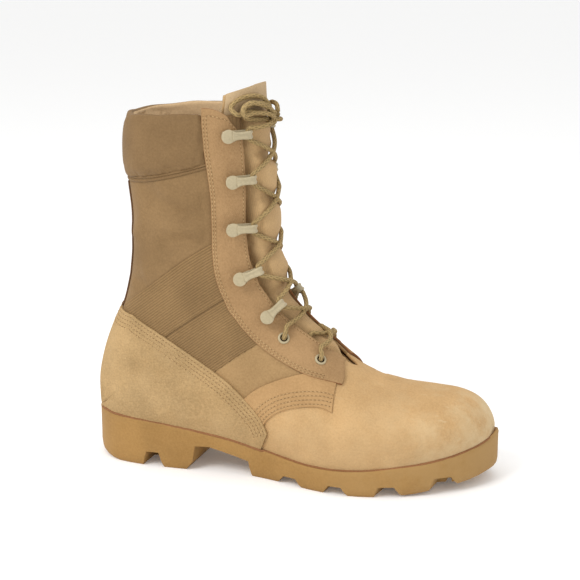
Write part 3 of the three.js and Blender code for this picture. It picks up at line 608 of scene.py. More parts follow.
def curve_points(points: Sequence[Point], step: float = 1.2) -> np.ndarray:
    """A smooth line through points, at an even step.

    Args:
        points: the points, in mm.
        step: distance between the new ones, in mm.

    Returns:
        The new points.
    """
    p = np.asarray(points, float)
    p = np.vstack([2 * p[0] - p[1], p, 2 * p[-1] - p[-2]])
    knots = np.concatenate([[0], np.cumsum(np.sqrt(np.linalg.norm(np.diff(p, axis=0), axis=1)))])
    fine = []
    for i in range(1, len(p) - 2):
        t0, t1, t2, t3 = knots[i - 1:i + 3]
        t = np.linspace(t1, t2, 16, endpoint=i == len(p) - 3)[:, None]
        a1 = (t1 - t) / (t1 - t0) * p[i - 1] + (t - t0) / (t1 - t0) * p[i]
        a2 = (t2 - t) / (t2 - t1) * p[i] + (t - t1) / (t2 - t1) * p[i + 1]
        a3 = (t3 - t) / (t3 - t2) * p[i + 1] + (t - t2) / (t3 - t2) * p[i + 2]
        b1 = (t2 - t) / (t2 - t0) * a1 + (t - t0) / (t2 - t0) * a2
        b2 = (t3 - t) / (t3 - t1) * a2 + (t - t1) / (t3 - t1) * a3
        fine.append((t2 - t) / (t2 - t1) * b1 + (t - t1) / (t2 - t1) * b2)
    return even_points(np.vstack(fine), step)


def even_points(points: np.ndarray, step: float) -> np.ndarray:
    """Points at an even step along a polyline.

    Args:
        points: the polyline, with any number of columns.
        step: distance between the new points.

    Returns:
        The new points.
    """
    arc = np.concatenate([[0], np.cumsum(np.linalg.norm(np.diff(points, axis=0), axis=1))])
    count = max(2, int(round(arc[-1] / step)) + 1)
    at = np.linspace(0, arc[-1], count)
    return np.stack([np.interp(at, arc, points[:, k]) for k in range(points.shape[1])], 1)


# ---------------------------------------------------------------- finishes
def add_node(tree: bpy.types.NodeTree, kind: str, inputs: Optional[dict] = None,
             **settings: object) -> bpy.types.Node:
    """A node with its sockets filled or linked.

    Args:
        tree: the node tree.
        kind: the node's type.
        inputs: socket name or number, and a value or another socket.
        settings: the node's own properties.

    Returns:
        The new node.
    """
    node = tree.nodes.new(kind)
    for key, value in settings.items():
        setattr(node, key, value)
    for key, value in (inputs or {}).items():
        if isinstance(value, bpy.types.NodeSocket):
            tree.links.new(value, node.inputs[key])
        else:
            node.inputs[key].default_value = value
    return node


def maths(tree: bpy.types.NodeTree, what: str, a: object, b: object = 0.0) -> bpy.types.NodeSocket:
    """The result of a Math node."""
    return add_node(tree, "ShaderNodeMath", {0: a, 1: b}, operation=what).outputs[0]


def noise(tree: bpy.types.NodeTree, where: object, scale: object, detail: float,
          roughness: float = 0.5) -> bpy.types.NodeSocket:
    """The value of a Noise Texture node."""
    return add_node(tree, "ShaderNodeTexNoise", {"Vector": where, "Scale": scale, "Detail": detail,
                                                 "Roughness": roughness}).outputs[0]


def spread(tree: bpy.types.NodeTree, value: object, low: float, high: float) -> bpy.types.NodeSocket:
    """A value stretched so that low gives 0 and high gives 1."""
    return add_node(tree, "ShaderNodeMapRange", {0: value, 1: low, 2: high}).outputs[0]


def mix(tree: bpy.types.NodeTree, share: object, first: object, second: object,
        blend: str = "MIX") -> bpy.types.NodeSocket:
    """Two colours mixed by a share."""
    return add_node(tree, "ShaderNodeMix", {0: share, 6: first, 7: second}, data_type="RGBA",
                    blend_type=blend).outputs[2]


def weigh(tree: bpy.types.NodeTree, first: object, share: float, second: object,
          rest: float) -> bpy.types.NodeSocket:
    """The sum of two values, each times its share."""
    return maths(tree, "ADD", maths(tree, "MULTIPLY", first, share), maths(tree, "MULTIPLY", second, rest))


def effect_group(name: str, inputs: Sequence[tuple], outputs: Sequence[tuple],
                 fill: Callable[[bpy.types.NodeTree, dict], dict]) -> bpy.types.NodeTree:
    """A shader group, made once.

    Args:
        name: the group's name.
        inputs: socket names and types.
        outputs: socket names and types.
        fill: builds the nodes from the input sockets and returns the output sockets.

    Returns:
        The group.
    """
    tree = bpy.data.node_groups.get(name)
    if tree:
        return tree
    tree = bpy.data.node_groups.new(name, "ShaderNodeTree")
    for label, kind in inputs:
        tree.interface.new_socket(name=label, in_out="INPUT", socket_type=kind)
    for label, kind in outputs:
        tree.interface.new_socket(name=label, in_out="OUTPUT", socket_type=kind)
    entry = tree.nodes.new("NodeGroupInput")
    leave = tree.nodes.new("NodeGroupOutput")
    for label, socket in fill(tree, {label: entry.outputs[label] for label, _ in inputs}).items():
        tree.links.new(socket, leave.inputs[label])
    return tree


def fill_mottle(tree: bpy.types.NodeTree, s: dict) -> dict:
    """Two sizes of cloudy colour change between a dark and a light tone.

    Args:
        tree: the group's node tree.
        s: its input sockets by name.

    Returns:
        Its output sockets by name.
    """
    broad = noise(tree, s["Vector"], s["Scale"], 4.0)
    fine = noise(tree, s["Vector"], maths(tree, "MULTIPLY", s["Scale"], 20.0), 3.0)
    cloud = spread(tree, weigh(tree, broad, 0.55, fine, 0.45), 0.36, 0.64)
    return {"Color": mix(tree, cloud, s["Dark"], s["Light"])}


def fill_nap(tree: bpy.types.NodeTree, s: dict) -> dict:
    """Short brushed fibres with a few longer marks.

    Args:
        tree: the group's node tree.
        s: its input sockets by name.

    Returns:
        Its output sockets by name.
    """
    fibre = noise(tree, s["Vector"], s["Scale"], 5.0, 0.7)
    coarse = maths(tree, "MULTIPLY", s["Scale"], 0.6)
    pit = add_node(tree, "ShaderNodeTexVoronoi", {"Vector": s["Vector"], "Scale": coarse})
    return {"Height": maths(tree, "ADD", fibre, maths(tree, "MULTIPLY", pit.outputs["Distance"], 0.35))}


def threads(tree: bpy.types.NodeTree, place: bpy.types.NodeSocket, scale: object) -> bpy.types.NodeSocket:
    """Round ridges across one pattern coordinate."""
    wave = maths(tree, "SINE", maths(tree, "MULTIPLY", place, scale))
    return maths(tree, "ABSOLUTE", wave)


def fill_weave(tree: bpy.types.NodeTree, s: dict) -> dict:
    """Over and under threads, from pattern coordinates.

    Args:
        tree: the group's node tree.
        s: its input sockets by name.

    Returns:
        Its output sockets by name.
    """
    parts = add_node(tree, "ShaderNodeSeparateXYZ", {0: s["Vector"]})
    turns = maths(tree, "MULTIPLY", s["Scale"], 2 * math.pi)
    warp, weft = (threads(tree, parts.outputs[k], turns) for k in (0, 1))
    return {"Height": weigh(tree, warp, 0.5, weft, 0.5)}


def fill_ribs(tree: bpy.types.NodeTree, s: dict) -> dict:
    """Raised cords that run along the tape, crossed by fine threads.

    Args:
        tree: the group's node tree.
        s: its input sockets by name.

    Returns:
        Its output sockets by name.
    """
    parts = add_node(tree, "ShaderNodeSeparateXYZ", {0: s["Vector"]})
    rib = threads(tree, parts.outputs[1], s["Scale"])
    cross = threads(tree, parts.outputs[0], maths(tree, "MULTIPLY", s["Scale"], 1.7))
    return {"Height": weigh(tree, rib, 0.8, cross, 0.25)}


def fill_braid(tree: bpy.types.NodeTree, s: dict) -> dict:
    """Strands that wind both ways round a cord.

    Args:
        tree: the group's node tree.
        s: its input sockets by name.

    Returns:
        Its output sockets by name.
    """
    parts = add_node(tree, "ShaderNodeSeparateXYZ", {0: s["Vector"]})
    u = maths(tree, "MULTIPLY", parts.outputs[0], 3100.0)
    v = maths(tree, "MULTIPLY", parts.outputs[1], s["Scale"])
    left = maths(tree, "SINE", maths(tree, "ADD", u, v))
    right = maths(tree, "SINE", maths(tree, "SUBTRACT", v, u))
    return {"Height": maths(tree, "MAXIMUM", left, right)}


def fill_wear(tree: bpy.types.NodeTree, s: dict) -> dict:
    """Rubbed patches and fine scratches within a mask.

    Args:
        tree: the group's node tree.
        s: its input sockets by name.

    Returns:
        Its output sockets by name.
    """
    rub = spread(tree, noise(tree, s["Vector"], s["Scale"], 6.0, 0.65), 0.40, 0.60)
    stretch = add_node(tree, "ShaderNodeMapping", {"Vector": s["Vector"], "Scale": (40.0, 260.0, 300.0),
                                                   "Rotation": (0.3, 0.4, 0.2)})
    scratch = spread(tree, noise(tree, stretch.outputs[0], 1.0, 2.0), 0.60, 0.70)
    both = maths(tree, "MAXIMUM", rub, maths(tree, "MULTIPLY", scratch, 0.7))
    return {"Color": mix(tree, maths(tree, "MULTIPLY", both, s["Amount"]), s["Color"], s["Worn"])}


COLOUR, VALUE, VECTOR = "NodeSocketColor", "NodeSocketFloat", "NodeSocketVector"
PLACED = (("Vector", VECTOR), ("Scale", VALUE))
RELIEF = (("Height", VALUE),)
TONE = (("Color", COLOUR),)
EFFECTS = {
    Effect.MOTTLE: ((*PLACED, ("Dark", COLOUR), ("Light", COLOUR)), TONE, fill_mottle),
    Effect.NAP: (PLACED, RELIEF, fill_nap),
    Effect.WEAVE: (PLACED, RELIEF, fill_weave),
    Effect.RIBS: (PLACED, RELIEF, fill_ribs),
    Effect.BRAID: (PLACED, RELIEF, fill_braid),
    Effect.WEAR: ((*PLACED, ("Amount", VALUE), ("Color", COLOUR), ("Worn", COLOUR)), TONE, fill_wear),
}
THREADED = {Pattern.WEAVE: Effect.WEAVE, Pattern.RIBS: Effect.RIBS, Pattern.BRAID: Effect.BRAID}


def group_node(tree: bpy.types.NodeTree, effect: Effect, inputs: dict) -> bpy.types.Node:
    """One of the shared effects, placed in a material with its own values."""
    group = effect_group("boot_" + effect.value, *EFFECTS[effect])
    return add_node(tree, "ShaderNodeGroup", inputs, node_tree=group)


@dataclass(frozen=True)
class Finish:
    """A material with its colours, relief and wear.

    Args:
        name: the material's name.
        pattern: what relief it has.
        dark: the darker tone, linear.
        light: the lighter tone, linear.
        roughness: of the surface.
        relief: strength of the bump.
        scale: size of the relief's repeats, per metre.
        sheen: strength of the soft sheen.
        metallic: 1 for bare metal.
        worn: tone of the rubbed places, or None.
        worn_from: x in metres where the rubbed toe starts.
        soiled: share of dust above the sole.
    """

    name: str
    pattern: Pattern
    dark: tuple
    light: tuple
    roughness: float = 0.9
    relief: float = 0.3
    scale: float = 900.0
    sheen: float = 0.0
    metallic: float = 0.0
    worn: Optional[tuple] = None
    worn_from: float = 0.08
    soiled: float = 0.0

    def material(self) -> bpy.types.Material:
        """The Blender material, made once.

        Returns:
            The material.
        """
        ready = bpy.data.materials.get(self.name)
        if ready:
            return ready
        made = bpy.data.materials.new(self.name)
        made.use_nodes = True
        made.diffuse_color = (*self.light, 1)
        tree = made.node_tree
        shader = tree.nodes["Principled BSDF"]
        where = tree.nodes.new("ShaderNodeTexCoord").outputs["Object"]
        colour = group_node(tree, Effect.MOTTLE, {"Vector": where, "Scale": 34.0, "Dark": (*self.dark, 1),
                                                  "Light": (*self.light, 1)}).outputs["Color"]
        fabric = self.pattern in THREADED
        sheet = add_node(tree, "ShaderNodeUVMap", uv_map="weave").outputs[0] if fabric else where
        height = group_node(tree, THREADED.get(self.pattern, Effect.NAP),
                            {"Vector": sheet, "Scale": self.scale}).outputs["Height"]
        # Threaded fabrics are darker where the relief is low: partly the threads' pattern, partly painted
        # shade between the threads.
        if fabric:
            low = add_node(tree, "ShaderNodeMapRange", {0: height, 1: 0.0, 2: 0.7, 3: 0.66, 4: 1.06})
            colour = mix(tree, 1.0, colour, low.outputs[0], "MULTIPLY")
        if self.worn:
            colour = self._wear(tree, where, colour)
        bump = add_node(tree, "ShaderNodeBump", {"Strength": self.relief, "Distance": 0.0008,
                                                 "Height": height})
        tree.links.new(colour, shader.inputs["Base Color"])
        tree.links.new(bump.outputs[0], shader.inputs["Normal"])
        for key, value in (("Roughness", self.roughness), ("Metallic", self.metallic),
                           ("Sheen Weight", self.sheen), ("Sheen Roughness", 0.55),
                           ("Sheen Tint", (*self.light, 1)),
                           ("Specular IOR Level", 0.5 if self.pattern is Pattern.PAINT else 0.2)):
            shader.inputs[key].default_value = value
        return made

    def _wear(self, tree: bpy.types.NodeTree, where: bpy.types.NodeSocket,
              colour: bpy.types.NodeSocket) -> bpy.types.NodeSocket:
        """Scuffs towards the toe and dust above the sole.

        Args:
            tree: the material's node tree.
            where: object coordinates.
            colour: the clean colour.

        Returns:
            The worn colour.
        """
        axes = add_node(tree, "ShaderNodeSeparateXYZ", {0: where})
        toe = spread(tree, axes.outputs[0], self.worn_from, self.worn_from + 0.07)
        amount = maths(tree, "ADD", maths(tree, "MULTIPLY", toe, 0.62), 0.12)
        colour = group_node(tree, Effect.WEAR, {"Vector": where, "Scale": 22.0, "Amount": amount,
                                                "Color": colour, "Worn": (*self.worn, 1)}).outputs["Color"]
        if self.soiled:
            low = spread(tree, axes.outputs[2], 0.050, 0.020)
            dust = maths(tree, "MULTIPLY", low, noise(tree, where, 60.0, 5.0))
            colour = mix(tree, maths(tree, "MULTIPLY", dust, self.soiled), colour, (0.22, 0.13, 0.055, 1))
        return colour


SUEDE = Finish("tan suede", Pattern.SUEDE, (0.458, 0.283, 0.126), (0.566, 0.360, 0.169), 0.95, 0.6, 1300.0,
               sheen=0.05, worn=(0.66, 0.53, 0.325), worn_from=0.080, soiled=0.55)
COUNTER = Finish("counter suede", Pattern.SUEDE, (0.326, 0.212, 0.095), (0.486, 0.319, 0.149), 0.95, 0.85,
                 900.0, sheen=0.05, worn=(0.56, 0.42, 0.24), worn_from=0.30, soiled=0.45)
FACING = Finish("facing suede", Pattern.SUEDE, (0.303, 0.181, 0.083), (0.403, 0.248, 0.118), 0.95, 0.5,
                1300.0, sheen=0.05)
STRIP = Finish("strip suede", Pattern.SUEDE, (0.375, 0.223, 0.098), (0.469, 0.287, 0.131), 0.95, 0.5,
               1300.0, sheen=0.05)
# Dark brown: the facings' real cut edges, and on the feather line painted shadow in the seam between upper
# and sole.
LEATHER_EDGE_AND_SEAM_SHADE = Finish("cut leather edge", Pattern.SUEDE, (0.20, 0.085, 0.035), (0.30, 0.14, 0.06), 0.9, 0.25,
                  1800.0)
NYLON = Finish("shaft nylon", Pattern.WEAVE, (0.193, 0.115, 0.048), (0.259, 0.158, 0.069), 0.72, 0.16,
               850.0, sheen=0.12)
WINDOW_NYLON = Finish("lower nylon", Pattern.WEAVE, (0.295, 0.182, 0.078), (0.395, 0.248, 0.112), 0.74,
                      0.16, 850.0, sheen=0.12)
PAD_NYLON = Finish("collar nylon", Pattern.WEAVE, (0.164, 0.096, 0.040), (0.216, 0.130, 0.055), 0.66, 0.12,
                   850.0, sheen=0.14)
TONGUE_NYLON = Finish("tongue nylon", Pattern.WEAVE, (0.401, 0.257, 0.120), (0.514, 0.337, 0.161), 0.74,
                      0.14, 800.0, sheen=0.12)
WEBBING = Finish("ribbed webbing", Pattern.RIBS, (0.195, 0.117, 0.049), (0.260, 0.158, 0.067), 0.78, 0.6,
                 1750.0, sheen=0.1)
HEM = Finish("tongue hem", Pattern.WEAVE, (0.42, 0.295, 0.165), (0.52, 0.375, 0.215), 0.78, 0.16, 800.0,
             sheen=0.1)
LINING = Finish("lining", Pattern.WEAVE, (0.44, 0.30, 0.165), (0.56, 0.395, 0.225), 0.85, 0.16, 700.0,
                sheen=0.1)
# Near-black: painted shade along the back stay's two edges.
STAY_EDGE_SHADE = Finish("back tape", Pattern.SUEDE, (0.085, 0.040, 0.018), (0.14, 0.070, 0.032), 0.85, 0.2, 1600.0)
RUBBER = Finish("tan rubber", Pattern.RUBBER, (0.281, 0.154, 0.046), (0.362, 0.203, 0.064), 0.62, 0.10,
                700.0, worn=(0.37, 0.225, 0.085), worn_from=0.02)
PAINT = Finish("khaki paint", Pattern.PAINT, (0.354, 0.291, 0.175), (0.442, 0.367, 0.225), 0.38, 0.06,
               500.0)
THREAD = Finish("seam thread", Pattern.THREAD, (0.42, 0.275, 0.130), (0.54, 0.37, 0.185), 0.8, 0.2, 2400.0)
# Dark brown line under the stitches: painted shade in the sunken seam.
STITCH_LINE_SHADE = Finish("seam groove", Pattern.THREAD, (0.20, 0.12, 0.052), (0.28, 0.168, 0.075), 0.9, 0.2, 2400.0)
CORD = Finish("lace cord", Pattern.BRAID, (0.300, 0.205, 0.085), (0.420, 0.295, 0.130), 0.8, 0.5, 1150.0,
              sheen=0.1)
# Near-black disc in each eyelet: painted shade where the hole would be, as the facing is not cut through.
SHADE = Finish("eyelet bore", Pattern.THREAD, (0.012, 0.008, 0.005), (0.03, 0.02, 0.012), 0.9, 0.1, 800.0)
BOARD = Finish("insole board", Pattern.SUEDE, (0.17, 0.13, 0.09), (0.24, 0.19, 0.13), 0.95, 0.2, 900.0)


def dress(piece: bpy.types.Object, slot: str, *finishes: Finish,
          stands_for: Sequence[str] = ()) -> bpy.types.Object:
    """Give a piece its materials and its body, and hide the CAD nodes it stands for.

    Args:
        piece: the object.
        slot: not used.
        finishes: one for each material slot.
        stands_for: CAD nodes that it replaces.

    Returns:
        The same object.
    """
    for finish in finishes:
        piece.data.materials.append(finish.material())
    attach(piece, "root")
    if stands_for:
        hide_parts(*stands_for)
    log.info("%s: %d faces", piece.name, len(piece.data.polygons))
    return piece


# ---------------------------------------------------------------- studio
@dataclass
class Studio:
    """Camera, floor and lights."""

    yaw: float = 18.0
    pitch: float = 14.0
    distance: float = 1200.0
    focal: float = 1615.0 / 580.0 * 36.0
    aim: tuple = (154.0, 0.0, 125.0)
    shift: tuple = (-2.435, 10.486)

    def camera(self) -> None:
        """Place the camera a little above the near side."""
        a, b = math.radians(self.yaw), math.radians(self.pitch)
        right = Vector((math.cos(a), math.sin(a), 0))
        ahead = Vector((-math.sin(a), math.cos(a), 0))
        up = ahead * math.sin(b) + Vector((0, 0, math.cos(b)))
        look = ahead * math.cos(b) - Vector((0, 0, math.sin(b)))
        target = Vector(row(self.aim)) + (right * self.shift[0] + up * self.shift[1]) * MM
        data = bpy.data.cameras.new("camera")
        data.lens = self.focal
        data.sensor_width = 36.0
        data.clip_start, data.clip_end = 0.01, 20.0
        camera = bpy.data.objects.new("camera", data)
        turn = Matrix((right, up, -look)).transposed().to_4x4()
        turn.translation = target - look * self.distance * MM
        camera.matrix_world = turn
        bpy.context.scene.collection.objects.link(camera)
        bpy.context.scene.camera = camera

    def lights(self) -> None:
        """Soft light from above, with a larger one from the near left."""
        scene = bpy.context.scene
        scene.view_settings.view_transform = "Standard"
        world = bpy.data.worlds.new("studio")
        world.use_nodes = True
        sky = world.node_tree.nodes["Background"]
        sky.inputs[0].default_value = (1.0, 1.0, 1.0, 1)
        sky.inputs[1].default_value = 0.88
        scene.world = world
        for name, place, size, power in (("key", (-0.55, -1.0, 1.15), 0.7, 11.5),
                                         ("fill", (0.95, -0.75, 0.6), 1.1, 1.2),
                                         ("top", (0.05, 0.25, 1.5), 1.0, 3.2)):
            data = bpy.data.lights.new(name, "AREA")
            data.size = size
            data.energy = power
            lamp = bpy.data.objects.new(name, data)
            lamp.location = place
            lamp.rotation_euler = (Vector((0, 0, 0.1)) - Vector(place)).to_track_quat("-Z", "Y").to_euler()
            scene.collection.objects.link(lamp)

    def floor(self) -> None:
        """A wide pale floor."""
        bm = bmesh.new()
        bmesh.ops.create_grid(bm, x_segments=2, y_segments=2, size=6.0)
        piece = keep(bm, "floor")
        made = bpy.data.materials.new("floor")
        made.use_nodes = True
        shader = made.node_tree.nodes["Principled BSDF"]
        shader.inputs["Base Color"].default_value = (0.97, 0.97, 0.965, 1)
        shader.inputs["Emission Color"].default_value = (1, 1, 1, 1)
        shader.inputs["Emission Strength"].default_value = 0.07
        shader.inputs["Roughness"].default_value = 0.95
        shader.inputs["Specular IOR Level"].default_value = 0.1
        piece.data.materials.append(made)


# ---------------------------------------------------------------- seams and stitches
class Skin:
    """Finds places on the finished upper, for seams, tapes and stitches."""

    def __init__(self, piece: bpy.types.Object) -> None:
        """Index the upper's outer surface.

        Args:
            piece: the upper's shell.
        """
        self.bm = bmesh.new()
        self.bm.from_mesh(piece.data)
        self.tree = BVHTree.FromBMesh(self.bm)

    def from_side(self, side: Side, x: float, z: float) -> tuple[np.ndarray, np.ndarray]:
        """The place seen from one side at x and z.

        Args:
            side: which side it is seen from.
            x: distance along the boot, in mm.
            z: height, in mm.

        Returns:
            The point and its outward normal, in mm.
        """
        start = row((x, side.value * 200.0, z))
        hit, normal, _, _ = self.tree.ray_cast(Vector(start), Vector((0, -side.value, 0)))
        if hit is None:
            hit, normal, _, _ = self.tree.find_nearest(Vector(row((x, side.value * 30.0, z))))
        return np.array(hit) / MM + CENTRE, self._out(normal, hit)

    def nearest(self, point: np.ndarray) -> tuple[np.ndarray, np.ndarray]:
        """The surface's nearest place to a point, in mm, and its normal."""
        hit, normal, _, _ = self.tree.find_nearest(Vector(row(point)))
        return np.array(hit) / MM + CENTRE, self._out(normal, hit)

    @staticmethod
    def _out(normal: Vector, hit: Vector) -> np.ndarray:
        """The normal, turned away from the boot's middle.

        Args:
            normal: as the ray or the search found it.
            hit: where, in metres.

        Returns:
            The outward normal.
        """
        n = np.array(normal)
        away = np.array((0.0, hit.y, 0.0))
        return -n if n @ away < 0 and abs(n[1]) > 0.2 else n

    def trace(self, side: Side, line: Sequence[tuple], step: float = 2.0
              ) -> tuple[np.ndarray, np.ndarray]:
        """A side-view line laid on the surface.

        Args:
            side: which side.
            line: x and z of its points, in mm.
            step: spacing, in mm.

        Returns:
            Points and normals.
        """
        flat = curve_points([(x, 0, z) for x, z in line], step)
        found = [self.from_side(side, p[0], p[2]) for p in flat]
        return np.array([p for p, _ in found]), np.array([n for _, n in found])

    def beside(self, points: np.ndarray, normals: np.ndarray, offset: float
               ) -> tuple[np.ndarray, np.ndarray]:
        """A line at a distance to one side of another, on the surface.

        Args:
            points: the first line.
            normals: its normals.
            offset: in mm, to the left as seen from outside.

        Returns:
            Points and normals.
        """
        along = np.gradient(points, axis=0)
        along /= np.linalg.norm(along, axis=1, keepdims=True)
        across = np.cross(normals, along)
        found = [self.nearest(p + a * offset) for p, a in zip(points, across)]
        return np.array([p for p, _ in found]), np.array([n for _, n in found])


@dataclass
class Stitching:
    """Rows of thread, with dark lines of painted shade under them, gathered into joined pieces."""

    length: float = 2.3
    pitch: float = 2.9
    width: float = 0.68
    height: float = 0.5
    proud: float = 0.16
    groove: float = 0.3
    groove_lift: float = 0.03
    bm: bmesh.types.BMesh = field(default_factory=bmesh.new)
    # The dark line under each row: painted shade in the seam.
    marks: bmesh.types.BMesh = field(default_factory=bmesh.new)

    def run(self, points: np.ndarray, normals: np.ndarray, lift: float) -> None:
        """Sew along a line.

        Args:
            points: the line on the upper, in mm.
            normals: its normals.
            lift: height of the sewn face above the upper, in mm.
        """
        both = even_points(np.hstack([points, normals]), self.pitch)
        for i in range(len(both) - 1):
            p, n = (both[i, :3] + both[i + 1, :3]) / 2, Vector(both[i, 3:]).normalized()
            t = Vector(both[i + 1, :3] - both[i, :3])
            t = (t - n * t.dot(n)).normalized()
            turn = Matrix((t, n.cross(t), n)).transposed().to_4x4()
            turn.translation = Vector(row(p)) + n * (lift + self.proud) * MM
            shape = turn @ Matrix.Diagonal((self.length * MM, self.width * MM, self.height * MM, 1))
            bmesh.ops.create_icosphere(self.bm, subdivisions=1, radius=0.5, matrix=shape)
        out = both[:, 3:] / np.linalg.norm(both[:, 3:], axis=1, keepdims=True)
        # A thin dark tube under the thread: painted shade in the sunken seam line.
        sweep(self.marks, both[:, :3] + out * (lift + self.groove_lift), self.groove, 4)

    def finish(self) -> None:
        """Make the two joined pieces."""
        dress(keep(self.bm, "stitches"), "overlay_suede", THREAD)
        dress(keep(self.marks, "seam_grooves"), "overlay_suede", STITCH_LINE_SHADE)


# ---------------------------------------------------------------- upper
@dataclass
class Upper:
    """The shell of suede and nylon, and everything sewn flat on it."""

    rows: int = 210
    columns: int = 74
    tape: float = 0.75
    strip: float = 1.3
    counter: float = 1.7
    facing: float = 1.7
    stitching: Stitching = field(default_factory=Stitching)
    surfaces: list = field(default_factory=list)

    def shell(self) -> bpy.types.Object:
        """The hollow upper, open at the collar, the throat and underneath.

        Returns:
            The shell.
        """
        halves = []
        for side in Side:
            def place(u: np.ndarray, v: np.ndarray, side: Side = side) -> np.ndarray:
                """Sections along u, from the throat or ridge down along v.

                Args:
                    u: places along it, from 0 to 1.
                    v: places across it, from 0 to 1.
                    side: which half.

                Returns:
                    Points in mm.
                """
                s = u * TOP_ROW
                start = self._start(side, s)
                return FORM.at(side, s, start + v * (FORM.lengths(side, s) - start))[0]

            def pattern(u: np.ndarray, v: np.ndarray, side: Side = side) -> np.ndarray:
                """Threads along the height and round the leg."""
                p = place(u, v, side)
                return np.stack([p[:, 0] + np.abs(p[:, 1]) * 0.7, p[:, 2]], 1)

            halves.append(grid_piece("half", self.rows, self.columns, place, (0, side.value, 0.3), pattern))
        piece = join(halves, "upper_shell")
        for face in piece.data.polygons:
            x, _, z = np.array(face.center) / MM + CENTRE
            ahead = x > STRIP_MIDDLE[0][0]
            edge = np.interp(x, *zip(*STRIP_MIDDLE)) if ahead else np.interp(x, *zip(*COUNTER_TOP)) - 8
            lower = x > WEBBING_FOOT[0][0] - 2 and z < np.interp(x, *zip(*WEBBING_FOOT))
            face.material_index = 0 if z < edge else 2 if lower else 1
        wall(piece, WALL, out=False, inside=3)
        return dress(piece, "upper_suede", SUEDE, NYLON, WINDOW_NYLON, LINING, LINING, LINING,
                     stands_for=["upper"])

    @staticmethod
    def _start(side: Side, s: np.ndarray) -> np.ndarray:
        """Where the leather starts: the ridge, or the throat's edge above it."""
        return np.where(s > THROAT_END, FORM.throat(side, s), 0) * smooth((s - THROAT_END) / 0.12)

    def band(self, name: str, side: Side, skin: Skin, top: Sequence[tuple], low: Sequence[tuple],
             thickness: float, lift: float, size: tuple = (60, 24)) -> bpy.types.Object:
        """A flat panel between two side-view lines, laid on the upper.

        Args:
            name: the piece's name.
            side: which side.
            skin: the upper's surface.
            top: x and z along its upper edge, in mm.
            low: x and z along its lower edge, in mm.
            thickness: in mm.
            lift: height above the upper, in mm.
            size: faces along and across.

        Returns:
            The panel, without its finish.
        """
        a = curve_points([(x, 0, z) for x, z in top], 0.5)
        b = curve_points([(x, 0, z) for x, z in low], 0.5)

        def flat(u: np.ndarray, v: np.ndarray) -> np.ndarray:
            """Side-view place between the two edges.

            Args:
                u: places along it, from 0 to 1.
                v: places across it, from 0 to 1.

            Returns:
                Their x and z, in mm.
            """
            ua, ub = u * (len(a) - 1), u * (len(b) - 1)
            pa = np.stack([np.interp(ua, range(len(a)), a[:, k]) for k in (0, 2)], 1)
            pb = np.stack([np.interp(ub, range(len(b)), b[:, k]) for k in (0, 2)], 1)
            return pa + (pb - pa) * v[:, None]

        def place(u: np.ndarray, v: np.ndarray) -> np.ndarray:
            """The same place on the upper."""
            found = [skin.from_side(side, x, z) for x, z in flat(u, v)]
            return np.array([p + n * lift for p, n in found])

        def pattern(u: np.ndarray, v: np.ndarray) -> np.ndarray:
            """Along and across the panel.

            Args:
                u: places along it, from 0 to 1.
                v: places across it, from 0 to 1.

            Returns:
                Pattern coordinates in mm.
            """
            long = np.linalg.norm(a[-1] - a[0])
            wide = np.linalg.norm((a[0] + a[-1] - b[0] - b[-1]) / 2)
            return np.stack([u * long, v * wide], 1)

        piece = grid_piece(name, *size, place, (0, side.value, 0.1), pattern)
        return wall(piece, thickness, bevel=0.3)

    def quarters(self, skin: Skin) -> None:
        """Ribbed tapes and the curved strip, with the strip's rows of stitches.

        Args:
            skin: the upper's surface.
        """
        for side in Side:
            word = side.name.lower()
            tapes = ((f"webbing_upper_{word}",
                      ((28, 121), (39, 129), (63, 147), (83, 162), (108, 178)),
                      ((58, 95), (70, 105), (94, 122), (109, 132), (121, 140))),
                     (f"webbing_lower_{word}",
                      ((58.5, 94), (70.5, 104), (94.5, 121), (109.5, 131), (122, 139.5)), WEBBING_FOOT))
            for name, top, low in tapes:
                dress(self.band(name, side, skin, top, low, self.tape, 0.05, (84, 40)),
                      "upper_suede", WEBBING)
            top = ((124, 56), (130, 62), (139, 69.5), (156, 78), (173, 83), (186, 84.5), (196, 82))
            low = ((138, 33), (142, 39), (148, 47.5), (158, 55), (173, 60), (189, 61.5), (198, 58.5))
            dress(self.band(f"quarter_strip_{word}", side, skin, top, low, self.strip, 0.1, (90, 34)),
                  "overlay_suede", STRIP)
            for inset in (2.2, 5.2, 8.2, 11.2):
                p, n = skin.trace(side, low[1:-1] + ((195.5, 60.5),))
                p, n = skin.beside(p, n, inset * -side.value)
                self.stitching.run(p, n, self.strip + 0.1)

    def back_stay(self) -> None:
        """The ribbed stay up the back seam, with near-black tubes along its two edges as painted shade."""
        half = 13.0

        def place(u: np.ndarray, v: np.ndarray) -> np.ndarray:
            """Round the back seam, half of it on each side.

            Args:
                u: places along it, from 0 to 1.
                v: places across it, from 0 to 1.

            Returns:
                Points in mm.
            """
            s = 18.2 + u * 5.0
            out = np.empty((len(u), 3))
            for side in Side:
                mine = (v - 0.5) * side.value >= 0
                d = FORM.lengths(side, s[mine]) - np.abs(v[mine] - 0.5) * 2 * half
                out[mine] = FORM.at(side, s[mine], d, np.full(mine.sum(), 0.1))[0]
            return out

        def pattern(u: np.ndarray, v: np.ndarray) -> np.ndarray:
            """Ribs up the stay."""
            return np.stack([u * 105, v * 2 * half], 1)

        piece = wall(grid_piece("back_stay", 70, 24, place, (-1, 0, 0), pattern), 0.7, bevel=0.2)
        dress(piece, "upper_suede", WEBBING)
        # Near-black tubes along the stay's edges: painted shade for the dark line there.
        bm = bmesh.new()
        for side in Side:
            s = np.linspace(18.25, 22.9, 90)
            p, n = FORM.at(side, s, FORM.lengths(side, s) - half - 0.2)
            sweep(bm, p + n * 0.55, 0.85, 8)
        dress(keep(bm, "back_stay_edges"), "upper_suede", STAY_EDGE_SHADE)

